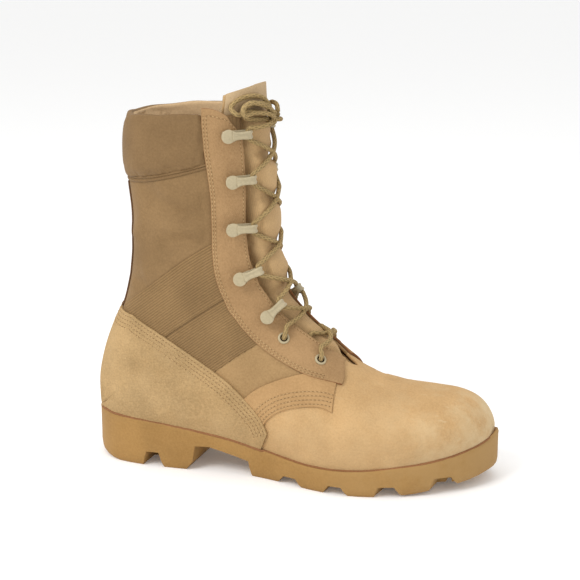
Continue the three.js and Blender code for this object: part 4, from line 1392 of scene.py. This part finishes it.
    def feather_line(self) -> None:
        """A dark tube where the upper meets the sole's rim, painted shadow in the seam."""
        bm = bmesh.new()
        for side in Side:
            line = []
            for s in np.arange(0.1, 14.75, 0.1):
                d = self._under(side, s, RIM, 0.2)
                p, n = FORM.at(side, np.array([s]), np.array([d]))
                proud = self.counter * smooth((146 - p[0, 0]) / 4)
                line.append(p[0] + n[0] * (0.25 + proud))
            sweep(bm, curve_points(line, 1.6), 0.8, 8)
        # The tube's dark colour is painted shadow in the seam between upper and sole.
        dress(keep(bm, "feather_line"), "upper_suede", LEATHER_EDGE_AND_SEAM_SHADE)

    def heel_counter(self, skin: Skin) -> None:
        """The suede counter round the heel, with four rows of stitches.

        Args:
            skin: the upper's surface.
        """
        first, last = 9.42, 18.93
        halves = []
        for side in Side:
            edge_s = np.linspace(first, last, 160)
            edge_d = np.array([self._under(side, s, COUNTER_TOP) for s in edge_s])
            sole_d = np.array([self._under(side, s, RIM) for s in edge_s])

            def place(u: np.ndarray, v: np.ndarray, side: Side = side, s0: np.ndarray = edge_s,
                      d0: np.ndarray = edge_d, d1: np.ndarray = sole_d) -> np.ndarray:
                """From the top edge at v = 0 to the sole's rim or the back seam.

                Args:
                    u: places along it, from 0 to 1.
                    v: places across it, from 0 to 1.
                    side: which half.
                    s0: sections where the two edges are known.
                    d0: distances of the top edge there.
                    d1: distances of the lower edge there.

                Returns:
                    Points in mm.
                """
                s = first + u * (last - first)
                start, end = np.interp(s, s0, d0), np.interp(s, s0, d1)
                return FORM.at(side, s, start + v * (end - start), np.full(len(s), 0.25))[0]

            halves.append(grid_piece("half", 130, 46, place, (-0.2, side.value, 0)))
            line, normals = FORM.at(side, edge_s, edge_d)
            good = np.concatenate([[True], np.linalg.norm(np.diff(line, axis=0), axis=1) > 0.05])
            line, normals = line[good], normals[good]
            for inset in (2.4, 5.4, 8.4, 11.4):
                p, n = skin.beside(line, normals, inset * -side.value)
                self.stitching.run(p, n, self.counter + 0.25)
        piece = join(halves, "counter_panel")
        wall(piece, self.counter, bevel=0.45)
        dress(piece, "overlay_suede", COUNTER, stands_for=["heel_counter"])

    @staticmethod
    def _under(side: Side, s: float, line: Sequence[tuple], margin: float = 0.0) -> float:
        """Distance from the ridge at which a section passes below a side-view line.

        Args:
            side: which side.
            s: the section.
            line: x and z of the line's points, in mm.
            margin: height above the line, in mm.

        Returns:
            The distance in mm, or the section's length if it stays above.
        """
        length = float(FORM.lengths(side, np.array(s)))
        d = np.linspace(length * 0.3, length, 400)
        p, _ = FORM.at(side, np.full(400, s), d)
        below = np.nonzero(p[:, 2] < np.interp(p[:, 0], *zip(*line)) + margin)[0]
        return float(d[below[0]]) if len(below) else length

    def facings(self) -> None:
        """The suede facings that carry the hooks and eyelets."""
        for side in Side:
            def place(u: np.ndarray, v: np.ndarray, side: Side = side) -> np.ndarray:
                """Up the throat along u, back from its edge along v."""
                s, d = self._facing_at(side, u, v)
                return FORM.at(side, s, d, np.full(len(s), 0.35))[0]

            piece = grid_piece(f"facing_{side.name.lower()}", 200, 26, place, (0.1, side.value, 0))
            self.surfaces.append(offset_copy(piece, self.facing))
            wall(piece, self.facing, bevel=0.5, rim=1)
            dress(piece, "overlay_suede", FACING, LEATHER_EDGE_AND_SEAM_SHADE, stands_for=[f"eyestay_{side.name.lower()}"])
            u = np.linspace(0.035, 0.985, 150)
            for v in (0.075, 0.885, 0.955):
                s, d = self._facing_at(side, u, np.full(150, v))
                p, n = FORM.at(side, s, d)
                self.stitching.run(p, n, self.facing + 0.35)
            across = np.linspace(0.09, 0.87, 24)
            s, d = self._facing_at(side, np.full(24, 0.986), across)
            p, n = FORM.at(side, s, d)
            self.stitching.run(p, n, self.facing + 0.35)

    @staticmethod
    def _facing_at(side: Side, u: np.ndarray, v: np.ndarray) -> tuple[np.ndarray, np.ndarray]:
        """Section and distance of a place on a facing.

        Args:
            side: which side.
            u: along the throat, 0 at the vamp.
            v: back from the throat's edge.

        Returns:
            Section numbers and distances from the ridge.
        """
        start = 8.35 - 0.38 * smooth(v)
        high = 276 - 22 * np.clip(1 - v, 0, 1) ** 2.3
        shaft = 18
        end = np.interp(high, FORM.table["fz"][shaft:], np.arange(shaft, LAST_ROW + 1))
        s = start + (end - start) * u
        return s, FORM.throat(side, s) + 0.3 + v * FACING_WIDTH


# ---------------------------------------------------------------- padding
def inflate(piece: bpy.types.Object, pinned: Sequence[int], pressure: float, slack: float,
            cap: float, floor: float) -> None:
    """Puff a padded cover with a cloth simulation, and apply it.

    Args:
        piece: the cover, one sheet of faces that look outwards.
        pinned: vertices held in their seams.
        pressure: of the padding.
        slack: how much larger the cloth is than its pattern, as a share.
        cap: greatest move, in mm.
        floor: greatest move inwards, in mm.
    """
    before = np.array([v.co for v in piece.data.vertices])
    normals = np.array([v.normal for v in piece.data.vertices])
    group = piece.vertex_groups.new(name="seams")
    group.add([int(i) for i in pinned], 1.0, "REPLACE")
    cloth = piece.modifiers.new("cloth", "CLOTH")
    cloth.settings.quality = 5
    cloth.settings.mass = 0.25
    cloth.settings.vertex_group_mass = "seams"
    cloth.settings.use_pressure = True
    cloth.settings.uniform_pressure_force = pressure
    cloth.settings.shrink_min = -slack
    cloth.settings.bending_stiffness = 0.4
    cloth.settings.effector_weights.gravity = 0
    scene = bpy.context.scene
    for number in range(1, 21):
        scene.frame_set(number)
    settled = piece.evaluated_get(bpy.context.evaluated_depsgraph_get()).data
    after = np.array([v.co for v in settled.vertices])
    piece.modifiers.remove(cloth)
    piece.vertex_groups.clear()
    scene.frame_set(1)
    move = after - before
    size = np.linalg.norm(move, axis=1, keepdims=True)
    move *= np.minimum(1, cap * MM / np.maximum(size, 1e-9))
    inward = np.sum(move * normals, axis=1)
    move += normals * np.maximum(-floor * MM - inward, 0)[:, None]
    for vert, co in zip(piece.data.vertices, before + move):
        vert.co = co
    log.info("%s: cloth moved up to %.1f mm", piece.name, size.max() / MM)


@dataclass
class Collar:
    """The padded nylon band round the top."""

    pad: float = 2.6
    rise: float = 3.0
    inside: float = 14.0
    seam_front: float = 22.35
    seam_back: float = 23.3
    columns: int = 120
    rows: int = 44

    def place(self, u: np.ndarray, v: np.ndarray) -> np.ndarray:
        """Round the leg along u, over the top edge along v.

        Args:
            u: from the lateral front to the medial front.
            v: from the outer seam over the top to the inner one.

        Returns:
            Points in mm.
        """
        out = 0.7
        inner = -(WALL + 0.5)
        full_out, full_in = out + self.pad * 0.96, inner - self.pad * 0.6
        stops = (("seam", 0.0, out, 0.0), ("seam", 0.03, out + self.pad * 0.62, 0.3),
                 ("seam", 0.25, full_out, 0.0), ("seam", 0.6, full_out, 0.0),
                 ("seam", 0.92, out + self.pad * 0.85, 0.0),
                 ("top", 0.0, out + self.pad * 0.3, self.rise * 0.75),
                 ("top", 0.0, (out + inner) / 2, self.rise),
                 ("top", 0.0, inner - self.pad * 0.3, self.rise * 0.6),
                 ("drop", 0.35, full_in, 0.0), ("drop", 0.8, full_in, 0.0), ("drop", 1.0, inner - 0.1, 0.0))
        result = np.empty((len(u), 3))
        for side in Side:
            mine, w, seam = self._round(side, u)
            lines = []
            for kind, share, off, up in stops:
                s = {"seam": seam + (TOP_ROW - seam) * share, "top": np.full(w.shape, TOP_ROW),
                     "drop": np.full(w.shape, TOP_ROW - self.inside / 25 * share)}[kind]
                start = FORM.throat(side, s) + FACING_WIDTH - 2.2
                d = start + (FORM.lengths(side, s) - start) * w
                full = smooth(w / 0.07)
                high = 0.2 + (off - 0.2) * full if off > 0 else off
                p, _ = FORM.at(side, s, d, high + np.zeros(w.shape))
                p[:, 2] += up * (0.35 + 0.65 * full) + up * 0.14 * np.sin(w * 17 + side.value)
                lines.append(p)
            at = v[mine] * (len(stops) - 1)
            i = np.minimum(at.astype(int), len(stops) - 2)
            t = (at - i)[:, None]
            stack = np.array(lines)
            k = np.arange(len(w))
            result[mine] = stack[i, k] * (1 - t) + stack[i + 1, k] * t
        return result

    def _round(self, side: Side, u: np.ndarray) -> tuple[np.ndarray, np.ndarray, np.ndarray]:
        """One side's share of the way round the leg.

        Args:
            side: which side.
            u: from the lateral front to the medial front.

        Returns:
            Which places are on this side, how far back they are from 0 to 1, and the seam's sections there.
        """
        mine = (u <= 0.5) if side is Side.LATERAL else (u > 0.5)
        w = 1 - np.abs(2 * u[mine] - 1)
        return mine, w, self.seam_front + (self.seam_back - self.seam_front) * w

    def build(self) -> None:
        """The band, puffed between its seams."""
        def pattern(u: np.ndarray, v: np.ndarray) -> np.ndarray:
            """Threads round and up the band."""
            return np.stack([u * 220, v * 90], 1)

        piece = grid_piece("collar_pad", self.columns, self.rows, self.place, None, pattern)
        mesh = piece.data
        layer = mesh.uv_layers["weave"].data
        inner = [layer[f.loop_start].uv.y > 0.057 for f in mesh.polygons]
        bm = bmesh.new()
        bm.from_mesh(mesh)
        bmesh.ops.smooth_vert(bm, verts=[v for v in bm.verts if not v.is_boundary], factor=0.5,
                              use_axis_x=True, use_axis_y=True, use_axis_z=True)
        bm.to_mesh(mesh)
        bm.free()
        middle = Vector(row((75.0, 0.0, 245.0)))
        face = min(mesh.polygons, key=lambda f: (f.center - Vector(row((75.0, -46.0, 245.0)))).length)
        if face.normal.dot(face.center - middle) < 0:
            mesh.flip_normals()
        inflate(piece, open_edges(mesh), 5.0, 0.035, 2.4, 0.5)
        for number, face in enumerate(mesh.polygons):
            face.material_index = int(inner[number])
        wall(piece, 0.7, out=False, levels=1)
        dress(piece, "collar_nylon", PAD_NYLON, LINING, stands_for=["collar"])

    def piping(self) -> None:
        """The folded seam below the band."""
        def place(u: np.ndarray, v: np.ndarray) -> np.ndarray:
            """Round the leg below the band, with two small folds.

            Args:
                u: places along it, from 0 to 1.
                v: places across it, from 0 to 1.

            Returns:
                Points in mm.
            """
            result = np.empty((len(u), 3))
            for side in Side:
                mine, w, seam = self._round(side, u)
                s = seam + 0.05 - v[mine] * 0.26
                start = FORM.throat(side, s) + FACING_WIDTH - 1
                d = start + (FORM.lengths(side, s) - start) * w
                lift = 0.25 + 1.1 * np.abs(np.sin(v[mine] * 2 * math.pi)) ** 0.7
                result[mine] = FORM.at(side, s, d, lift)[0]
            return result

        def pattern(u: np.ndarray, v: np.ndarray) -> np.ndarray:
            """Threads round the band."""
            return np.stack([u * 220, v * 7], 1)

        piece = grid_piece("collar_seam", 140, 14, place, None, pattern)
        face = min(piece.data.polygons, key=lambda f: (f.center - Vector(row((75.0, -46.0, 222.0)))).length)
        if face.normal.y > 0:
            piece.data.flip_normals()
        dress(wall(piece, 0.5, out=False), "collar_nylon", PAD_NYLON)


@dataclass
class Tongue:
    """The padded tongue behind the lace."""

    thick: float = 3.4
    first: float = 7.35
    last: float = 25.86
    clear: float = 0.95
    fall: float = 0.22
    rows: int = 150
    columns: int = 60
    half: tuple = ((7, 10), (8, 17), (9, 23), (10.5, 28), (13, 31), (18, 34), (24, 38), (25.2, 39), (26, 37))
    pinches: tuple = (237.5, 204.5, 168.5, 134.0)
    bulges: tuple = (221.0, 187.0, 151.0)
    hem: float = 272.0

    def place(self, u: np.ndarray, v: np.ndarray) -> np.ndarray:
        """Up the tongue along u, across it along v.

        Args:
            u: from the vamp to the top.
            v: from the lateral edge to the medial one.

        Returns:
            Points in mm.
        """
        s = self.first + (self.last - self.first) * u
        across = 2 * v - 1
        half = np.interp(s, *zip(*self.half))
        s = s - self.fall * smooth((s - 23.5) / 2.4) * across ** 2
        result = np.empty((len(u), 3))
        for side in Side:
            mine = (across < 0) if side is Side.LATERAL else (across >= 0)
            d = np.abs(across[mine]) * half[mine]
            sm = s[mine]
            p, n = FORM.at(side, sm, d)
            gap, fy, puff = (FORM.column(k, sm) for k in ("gap", "fy", "puff"))
            inside = gap - np.abs(p[:, 1] - fy)
            open_here = smooth((sm - THROAT_END - 0.2) / 0.9)
            show = smooth((inside - 3) / 6) * open_here
            free = smooth((p[:, 2] - 268) / 12)
            gutter = 3.2 * np.exp(-(((inside - 2.5) / 3.2) ** 2)) * open_here * (1 - free)
            tilt = p[:, 2] + 0.16 * p[:, 1]
            pinch = sum(np.exp(-(((tilt - z) / 5.0) ** 2)) for z in self.pinches)
            bulge = sum(np.exp(-(((p[:, 2] - z) / 9.5) ** 2)) for z in self.bulges)
            waves = np.sin(p[:, 2] * 0.42 + 1.6 * np.sin(p[:, 1] * 0.12))
            fold = 0.4 * smooth((268 - p[:, 2]) / 14) * waves * show
            under = -(WALL + self.clear)
            lift = under + (puff - 2.4 * pinch + 2.6 * bulge + fold - under) * show - gutter
            lift += (puff - 3.5 * across[mine] ** 2 - lift) * free
            result[mine] = p + n * lift[:, None]
        return result

    def build(self) -> bmesh.types.BMesh:
        """The tongue and its hem.

        Returns:
            The tongue's outer faces, for the lace to lie on.
        """
        def pattern(u: np.ndarray, v: np.ndarray) -> np.ndarray:
            """Threads up and across the tongue."""
            return np.stack([v * 70, u * 215], 1)

        piece = grid_piece("tongue_pad", self.rows, self.columns, self.place, (1, 0, 0.3), pattern)
        held = open_edges(piece.data) + [v.index for v in piece.data.vertices if v.co.z > self.hem * MM]
        inflate(piece, sorted(set(held)), 3.5, 0.02, 1.6, 0.8)
        surface = offset_copy(piece, 0.0)
        wall(piece, self.thick, out=False, bevel=0.5, rim=1)
        dress(piece, "tongue_nylon", TONGUE_NYLON, HEM, stands_for=["tongue"])
        hem_piece = grid_piece("tongue_hem", 8, 60, self._hem, (1, 0, 0.3), pattern)
        dress(wall(hem_piece, 0.6, bevel=0.2), "tongue_nylon", HEM)
        return surface

    def _hem(self, u: np.ndarray, v: np.ndarray) -> np.ndarray:
        """The folded edge at the tongue's top.

        Args:
            u: places along it, from 0 to 1.
            v: places across it, from 0 to 1.

        Returns:
            Points in mm.
        """
        p = self.place(0.955 + 0.047 * u, 0.02 + 0.96 * v)
        away = (p - (70.0, 0, 0)) * (1, 1, 0)
        return p + away / np.linalg.norm(away, axis=1, keepdims=True) * 0.4


# ---------------------------------------------------------------- hardware
def facing_frame(side: Side, z: float, inset: float, lift: float) -> Matrix:
    """Frame on a facing: x towards the throat, z outwards, in metres.

    Args:
        side: which side.
        z: height in mm.
        inset: from the throat's edge, in mm.
        lift: above the upper, in mm.

    Returns:
        The frame.
    """
    s = FORM.at_height(side, z, inset)
    near = np.array([s - 0.25, s, s + 0.25])
    p, n = FORM.at(side, near, FORM.throat(side, near) + inset)
    out = Vector(n[1]).normalized()
    up = Vector(p[2] - p[0])
    up = (up - out * up.dot(out)).normalized()
    if side is Side.MEDIAL:
        up = -up
    frame_of = Matrix((up.cross(out), up, out)).transposed().to_4x4()
    frame_of.translation = Vector(row(p[1])) + out * lift * MM
    return frame_of


@dataclass
class Hardware:
    """Painted hooks and eyelets on both facings."""

    hook_heights: tuple = (254.0, 221.0, 186.0, 148.5, 119.5)
    eyelet_heights: tuple = (106.0, 90.5)
    hook_inset: dict = field(default_factory=lambda: {Side.LATERAL: 12.5, Side.MEDIAL: 15.5})
    eyelet_inset: float = 14.5
    seat: float = 2.25
    reach: float = 18.2
    plate: float = 1.0
    opening: float = 4.7

    def hook(self, bm: bmesh.types.BMesh, where: Matrix) -> None:
        """A pressed hook: base plate, bend, ribbed neck and flat head.

        Args:
            bm: the bmesh that receives it.
            where: its frame on the facing.
        """
        new = bmesh.new()
        high = self.plate + self.opening
        path = curve_points([(-2.6, 2.9, 0.5), (2.0, 2.8, 0.5), (self.reach - 4, 2.6, 0.5),
                             (self.reach - 1.7, 2.6, 1.5), (self.reach - 0.9, 2.6, 3.4),
                             (self.reach - 1.7, 2.7, high - 0.3), (self.reach - 4, 2.7, high + 0.5),
                             (9.0, 2.3, high + 0.6), (6.0, 2.5, high + 0.7), (3.0, 3.6, high + 0.8)], 0.9)
        bmesh.ops.create_grid(new, x_segments=len(path) - 1, y_segments=12, size=0.5)
        slope = np.gradient(path[:, [0, 2]], axis=0)
        slope /= np.linalg.norm(slope, axis=1, keepdims=True)
        count = np.arange(len(path))
        for vert in new.verts:
            at, y = (vert.co.x + 0.5) * (len(path) - 1), 2 * vert.co.y
            x, half, z, dx, dz = (np.interp(at, count, c) for c in (*path.T, *slope.T))
            rail = 0.55 * math.exp(-(((abs(y) - 0.7) / 0.22) ** 2)) * min(1.0, at / 6)
            vert.co = (x - dz * -rail, y * half, z + dx * -rail)
        bmesh.ops.recalc_face_normals(new, faces=new.faces[:])
        bmesh.ops.solidify(new, geom=new.faces[:], thickness=0.8)
        for radius, base, dome in ((5.1, high + 0.55, 0.75), (3.7, self.plate / 2, 0.55)):
            disc = bmesh.ops.create_circle(new, cap_ends=True, segments=32, radius=radius,
                                           matrix=Matrix.Translation((0, 0, base)))
            raised = bmesh.ops.extrude_face_region(new, geom=[f for f in disc["verts"][0].link_faces])
            lifted = [g for g in raised["geom"] if isinstance(g, bmesh.types.BMVert)]
            bmesh.ops.translate(new, verts=lifted, vec=(0, 0, dome))
            near = {e for v in lifted for e in v.link_edges}
            rim = [e for e in near if all(v in lifted for v in e.verts)]
            bmesh.ops.bevel(new, geom=rim, offset=0.45, offset_type="OFFSET", segments=3, profile=0.5,
                            affect="EDGES", material=-1)
        bmesh.ops.recalc_face_normals(new, faces=new.faces[:])
        bmesh.ops.scale(new, vec=(MM, MM, MM), verts=new.verts[:])
        self._pour(bm, new, where)

    @staticmethod
    def _pour(bm: bmesh.types.BMesh, new: bmesh.types.BMesh, where: Matrix) -> None:
        """Put a small shape into a joined one at a frame.

        Args:
            bm: the joined shape.
            new: the small one, which is used up.
            where: the frame.
        """
        bmesh.ops.transform(new, matrix=where, verts=new.verts[:])
        mesh = bpy.data.meshes.new("part")
        new.to_mesh(mesh)
        new.free()
        bm.from_mesh(mesh)
        bpy.data.meshes.remove(mesh)

    def eyelet(self, ring: bmesh.types.BMesh, bore: bmesh.types.BMesh, where: Matrix) -> None:
        """A rolled ring with a near-black disc inside it, painted shade where the hole would be.

        Args:
            ring: the bmesh that receives the ring.
            bore: the bmesh that receives the disc of painted shade.
            where: its frame on the facing.
        """
        new = bmesh.new()
        profile = [(2.7, -0.6), (2.7, 0.5), (2.95, 0.95), (3.5, 1.12), (4.05, 0.9), (4.35, 0.4), (4.4, 0.0)]
        verts = [new.verts.new((r, 0, z)) for r, z in profile]
        edges = [new.edges.new(pair) for pair in zip(verts, verts[1:])]
        bmesh.ops.spin(new, geom=verts + edges, cent=(0, 0, 0), axis=(0, 0, 1), dvec=(0, 0, 0),
                       angle=2 * math.pi, steps=28, use_merge=True, use_duplicate=False)
        bmesh.ops.remove_doubles(new, verts=new.verts[:], dist=1e-4)
        bmesh.ops.recalc_face_normals(new, faces=new.faces[:])
        bmesh.ops.scale(new, vec=(MM, MM, MM), verts=new.verts[:])
        self._pour(ring, new, where)
        # A flat near-black disc in the ring: painted shade in place of a real hole.
        dark = bmesh.new()
        turn = Matrix.Translation((0, 0, 0.02)) @ Matrix.Diagonal((2.72, 2.72, 0.12, 1))
        bmesh.ops.create_uvsphere(dark, u_segments=20, v_segments=6, radius=1.0, matrix=turn)
        bmesh.ops.scale(dark, vec=(MM, MM, MM), verts=dark.verts[:])
        self._pour(bore, dark, where)

    def build(self) -> None:
        """All the hooks and eyelets of both sides."""
        for side in Side:
            word = side.name.lower()
            bm, ring, bore = bmesh.new(), bmesh.new(), bmesh.new()
            for z in self.hook_heights:
                self.hook(bm, facing_frame(side, z, self.hook_inset[side], self.seat))
            for z in self.eyelet_heights:
                self.eyelet(ring, bore, facing_frame(side, z, self.eyelet_inset, self.seat - 0.15))
            names = [f"hook_{word}_{i + 1}" for i in range(5)]
            dress(keep(bm, f"hooks_{word}"), "painted_hardware", PAINT, stands_for=names)
            names = [f"eyelet_{word}_{i + 1}" for i in range(2)]
            dress(keep(ring, f"eyelets_{word}"), "painted_hardware", PAINT, stands_for=names)
            # The discs of painted shade inside the eyelets.
            dress(keep(bore, f"eyelet_bores_{word}"), "painted_hardware", SHADE)


# ---------------------------------------------------------------- lace
@dataclass
class Lace:
    """The round cord through the eyelets and hooks, its knot and its loops."""

    hardware: Hardware
    diameter: float = 3.5
    step: float = 1.1
    loops: dict = field(default_factory=lambda: {
        "lateral": ((1.8, -3, 8.6), (-1.2, -9, 15.5), (-7.1, -19, 17.9), (-14.5, -26, 15.5),
                    (-18.5, -30, 10.2), (-13.3, -31, 5.8), (-7, -20, 6.8), (-1.8, -11.5, 5),
                    (0.2, -8.4, 4.4)),
        "medial": ((4.6, 6.4, 4.4), (2.2, 11, 8.5), (-3.6, 17, 9.5), (-8.5, 22.5, 5.5), (-7, 21, 1.2),
                   (3.4, 10.8, 1.5))})
    front: tuple = ((3, -3, 6.5), (0.5, -9, 11), (-4.5, -17, 12.5), (-10, -23.5, 9.5), (-9.5, -25.5, 3.5),
                    (-3.5, -18, 1), (1.5, -8, 0.5))
    inner: tuple = ((5, -2, 1), (4, -12, 4.6), (-3.2, -25, 6.6), (-7.5, -32, 5.4), (-8, -33, 10.6),
                    (-4.5, -28, 14), (1.5, -15, 11), (5, -2, 4.5))
    trees: list = field(default_factory=list)

    def crossing(self, z: float, lift: float) -> np.ndarray:
        """Middle of the lacing at a height, in front of the tongue.

        Args:
            z: height of the ridge, in mm.
            lift: distance in front of the tongue, in mm.

        Returns:
            The point in mm.
        """
        s = FORM.s[(FORM.s > THROAT_OPEN) & (FORM.s <= TOP_ROW)]
        p, _ = FORM.at(Side.LATERAL, s, np.zeros(len(s)))
        at = float(np.interp(z, p[:, 2], s))
        p, n = FORM.at(Side.LATERAL, np.array([at]), np.array([0.0]))
        return p[0] + n[0] * (float(FORM.column("puff", np.array([at]))[0]) + lift)

    def beside(self, side: Side, level: int, spots: Sequence[Point]) -> list:
        """Places in a hook's frame, in mm.

        Args:
            side: which side.
            level: the hook's number, from the top.
            spots: points in the hook's frame, y up the facing.

        Returns:
            The points.
        """
        hw = self.hardware
        where = facing_frame(side, hw.hook_heights[level], hw.hook_inset[side], hw.seat)
        return self._out_of(where, side, spots)

    @staticmethod
    def _out_of(where: Matrix, side: Side, spots: Sequence[Point]) -> list:
        """Points given in a frame on a facing, in the boot's own.

        Args:
            where: the frame.
            side: the facing's side.
            spots: points in the frame, y up the facing, in mm.

        Returns:
            The points in mm.
        """
        return [np.array(where @ Vector((x * MM, -side.value * y * MM, z * MM))) / MM + CENTRE
                for x, y, z in spots]

    def round_hook(self, side: Side, level: int) -> list:
        """Through a hook's bend, from below to above.

        Args:
            side: which side.
            level: its number, from the top.

        Returns:
            The points in mm.
        """
        hw = self.hardware
        mid = hw.plate + hw.opening / 2 + 0.1
        x = hw.reach - 3.4
        return self.beside(side, level, [(x + 1.6, -4.2, mid), (x + 0.4, -2.4, mid), (x, 0, mid),
                                         (x + 0.4, 2.4, mid), (x + 1.6, 4.2, mid)])

    def through_eyelet(self, side: Side, level: int) -> list:
        """Out of an eyelet's bore and towards the throat.

        Args:
            side: which side.
            level: its number, from the top.

        Returns:
            The points in mm.
        """
        hw = self.hardware
        where = facing_frame(side, hw.eyelet_heights[level], hw.eyelet_inset, hw.seat)
        return self._out_of(where, side, [(0, 0, -2.5), (0.2, 0, 0.8), (2.2, 0.9, 2.9), (8.0, 3.4, 3.4)])

    def under_facing(self, side: Side) -> list:
        """Under the facing's edge, towards the upper eyelet.

        Args:
            side: which side.

        Returns:
            The points in mm.
        """
        z = self.hardware.eyelet_heights[0]
        where = facing_frame(side, z - 2, 2.0, 0.0)
        return self._out_of(where, side, [(6.5, 0, 0.4), (3.0, 0, -2.8), (-1.5, 0, -4.4), (-6, 0, -4.6)])

    def taut(self, start: np.ndarray, end: np.ndarray, over: bool) -> np.ndarray:
        """A span pulled tight over the tongue and the facings.

        Args:
            start: its first point, in mm.
            end: its last point, in mm.
            over: it lies on top of the other span that it crosses.

        Returns:
            Points in mm.
        """
        count, rounds, bow = 34, 130, 14
        share = np.linspace(0, 1, count)[:, None]
        line = start + (end - start) * share
        line[:, 0] += bow * np.sin(share[:, 0] * math.pi)
        radius = self.diameter / 2
        for _ in range(rounds):
            line[1:-1] += 0.5 * (line[:-2] + line[2:] - 2 * line[1:-1])
            above = 0.98 * self.diameter * np.exp(-((line[:, 1] / 4.2) ** 2)) if over else 0.0
            need = np.broadcast_to(radius + 0.05 + above, (count,))
            for i in range(1, count - 1):
                spot = Vector(row(line[i]))
                for tree in self.trees:
                    hit, normal, _, away = tree.find_nearest(spot, 0.03)
                    if hit is None:
                        continue
                    depth = need[i] * MM - (spot - hit).dot(normal)
                    if depth > 0 and (away < 0.004 or (spot - hit).normalized().dot(normal) < -0.8):
                        spot += normal * depth
                line[i] = np.array(spot) / MM + CENTRE
        return line

    def runs(self) -> list:
        """The two runs from the lower eyelets up to the top hooks.

        Returns:
            Lists of points in mm.
        """
        lines = []
        for first in Side:
            other = Side.MEDIAL if first is Side.LATERAL else Side.LATERAL
            over = first is Side.LATERAL
            low = self.through_eyelet(first, 1)
            tucked = self.under_facing(other)
            span = self.taut(low[-1], tucked[0], over)[::3]
            lines.append(curve_points([*low[:-1], *span, *tucked[1:]], self.step))
            run = self.through_eyelet(first, 0)
            points, last, side = run[:-1], run[-1], other
            for level in range(4, -1, -1):
                hook = self.round_hook(side, level)
                points += [*self.taut(last, hook[0], over)[:-1:2], *hook[:-1]]
                last, over = hook[-1], not over
                side = Side.MEDIAL if side is Side.LATERAL else Side.LATERAL
            lines.append(curve_points([*points, last], self.step))
        return lines

    def build(self, surfaces: Sequence[bmesh.types.BMesh]) -> None:
        """The runs, the knot and the loops.

        Args:
            surfaces: faces that the lace lies on.
        """
        self.trees = [BVHTree.FromBMesh(bm) for bm in surfaces]
        bm = bmesh.new()
        for line in self.runs():
            sweep(bm, line, self.diameter / 2, 10)
        names = [f"lace_crossing_{i + 1}" for i in range(5)]
        dress(keep(bm, "lace_runs"), "lace_cord", CORD, stands_for=names)
        middle = self.crossing(262.5, self.diameter / 2 + 1.8)
        bm = bmesh.new()
        for side in Side:
            hook = self.round_hook(side, 0)
            span = self.taut(hook[-1], middle + np.array((0, side.value * 1.5, -1)), False)
            sweep(bm, curve_points([hook[-2], *span[::3], middle], self.step), self.diameter / 2, 10)
        t = np.linspace(0, 2 * math.pi, 72, endpoint=False)
        knot = np.stack([2.0 - np.sin(3 * t) * 1.9, (np.sin(t) + 2 * np.sin(2 * t)) * 1.35,
                         0.6 + (np.cos(t) - 2 * np.cos(2 * t)) * 1.5], 1)
        sweep(bm, middle + knot, self.diameter / 2 * 0.95, 10, closed=True)
        dress(keep(bm, "bow_knot"), "lace_cord", CORD, stands_for=["lace_knot"])
        for word, points in (*self.loops.items(), ("inner", self.inner), ("front", self.front)):
            line = curve_points([middle + np.array(p, float) for p in points], self.step)
            bm = bmesh.new()
            sweep(bm, line, self.diameter / 2, 10)
            stands = [f"lace_loop_{word}"] if word in self.loops else []
            piece = dress(keep(bm, f"bow_loop_{word}"), "lace_cord", CORD, stands_for=stands)
            tuple(row(line[0]))
            [tuple(p) for p in row(line)]


# ---------------------------------------------------------------- sole
@dataclass
class Sole:
    """The lugged rubber sole and the board inside."""

    bevel: float = 0.9

    def build(self) -> None:
        """The sole with eased edges, and the insole's finish."""
        bm = bmesh.new()
        bm.from_mesh(frame_node("outsole").data)
        bmesh.ops.remove_doubles(bm, verts=bm.verts[:], dist=WELD)
        bmesh.ops.dissolve_limit(bm, angle_limit=math.radians(1.0), verts=bm.verts[:], edges=bm.edges[:])
        piece = keep(bm, "sole_block")
        ease(piece, self.bevel, 3, 34)
        dress(piece, "rubber", RUBBER, stands_for=["outsole"])
        board = frame_node("insole")
        board.data.materials.clear()
        board.data.materials.append(BOARD.material())


def frame_node(name: str) -> bpy.types.Object:
    """The CAD node's object."""
    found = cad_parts[name]
    return found if isinstance(found, bpy.types.Object) else bpy.data.objects[found]


def main() -> None:
    """Build the studio, the lace, and the boot's sub-assemblies in order."""
    logging.basicConfig(level=logging.INFO, format="%(name)s %(message)s")
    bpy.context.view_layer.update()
    studio = Studio()
    studio.camera()
    hardware = Hardware()
    studio.lights()
    studio.floor()
    upper = Upper()
    skin = Skin(upper.shell())
    upper.quarters(skin)
    upper.back_stay()
    upper.feather_line()
    upper.heel_counter(skin)
    upper.facings()
    collar = Collar()
    collar.build()
    collar.piping()
    surface = Tongue().build()
    upper.stitching.finish()
    hardware.build()
    Lace(hardware).build([surface, *upper.surfaces])
    Sole().build()


if __name__ == "__main__":
    main()
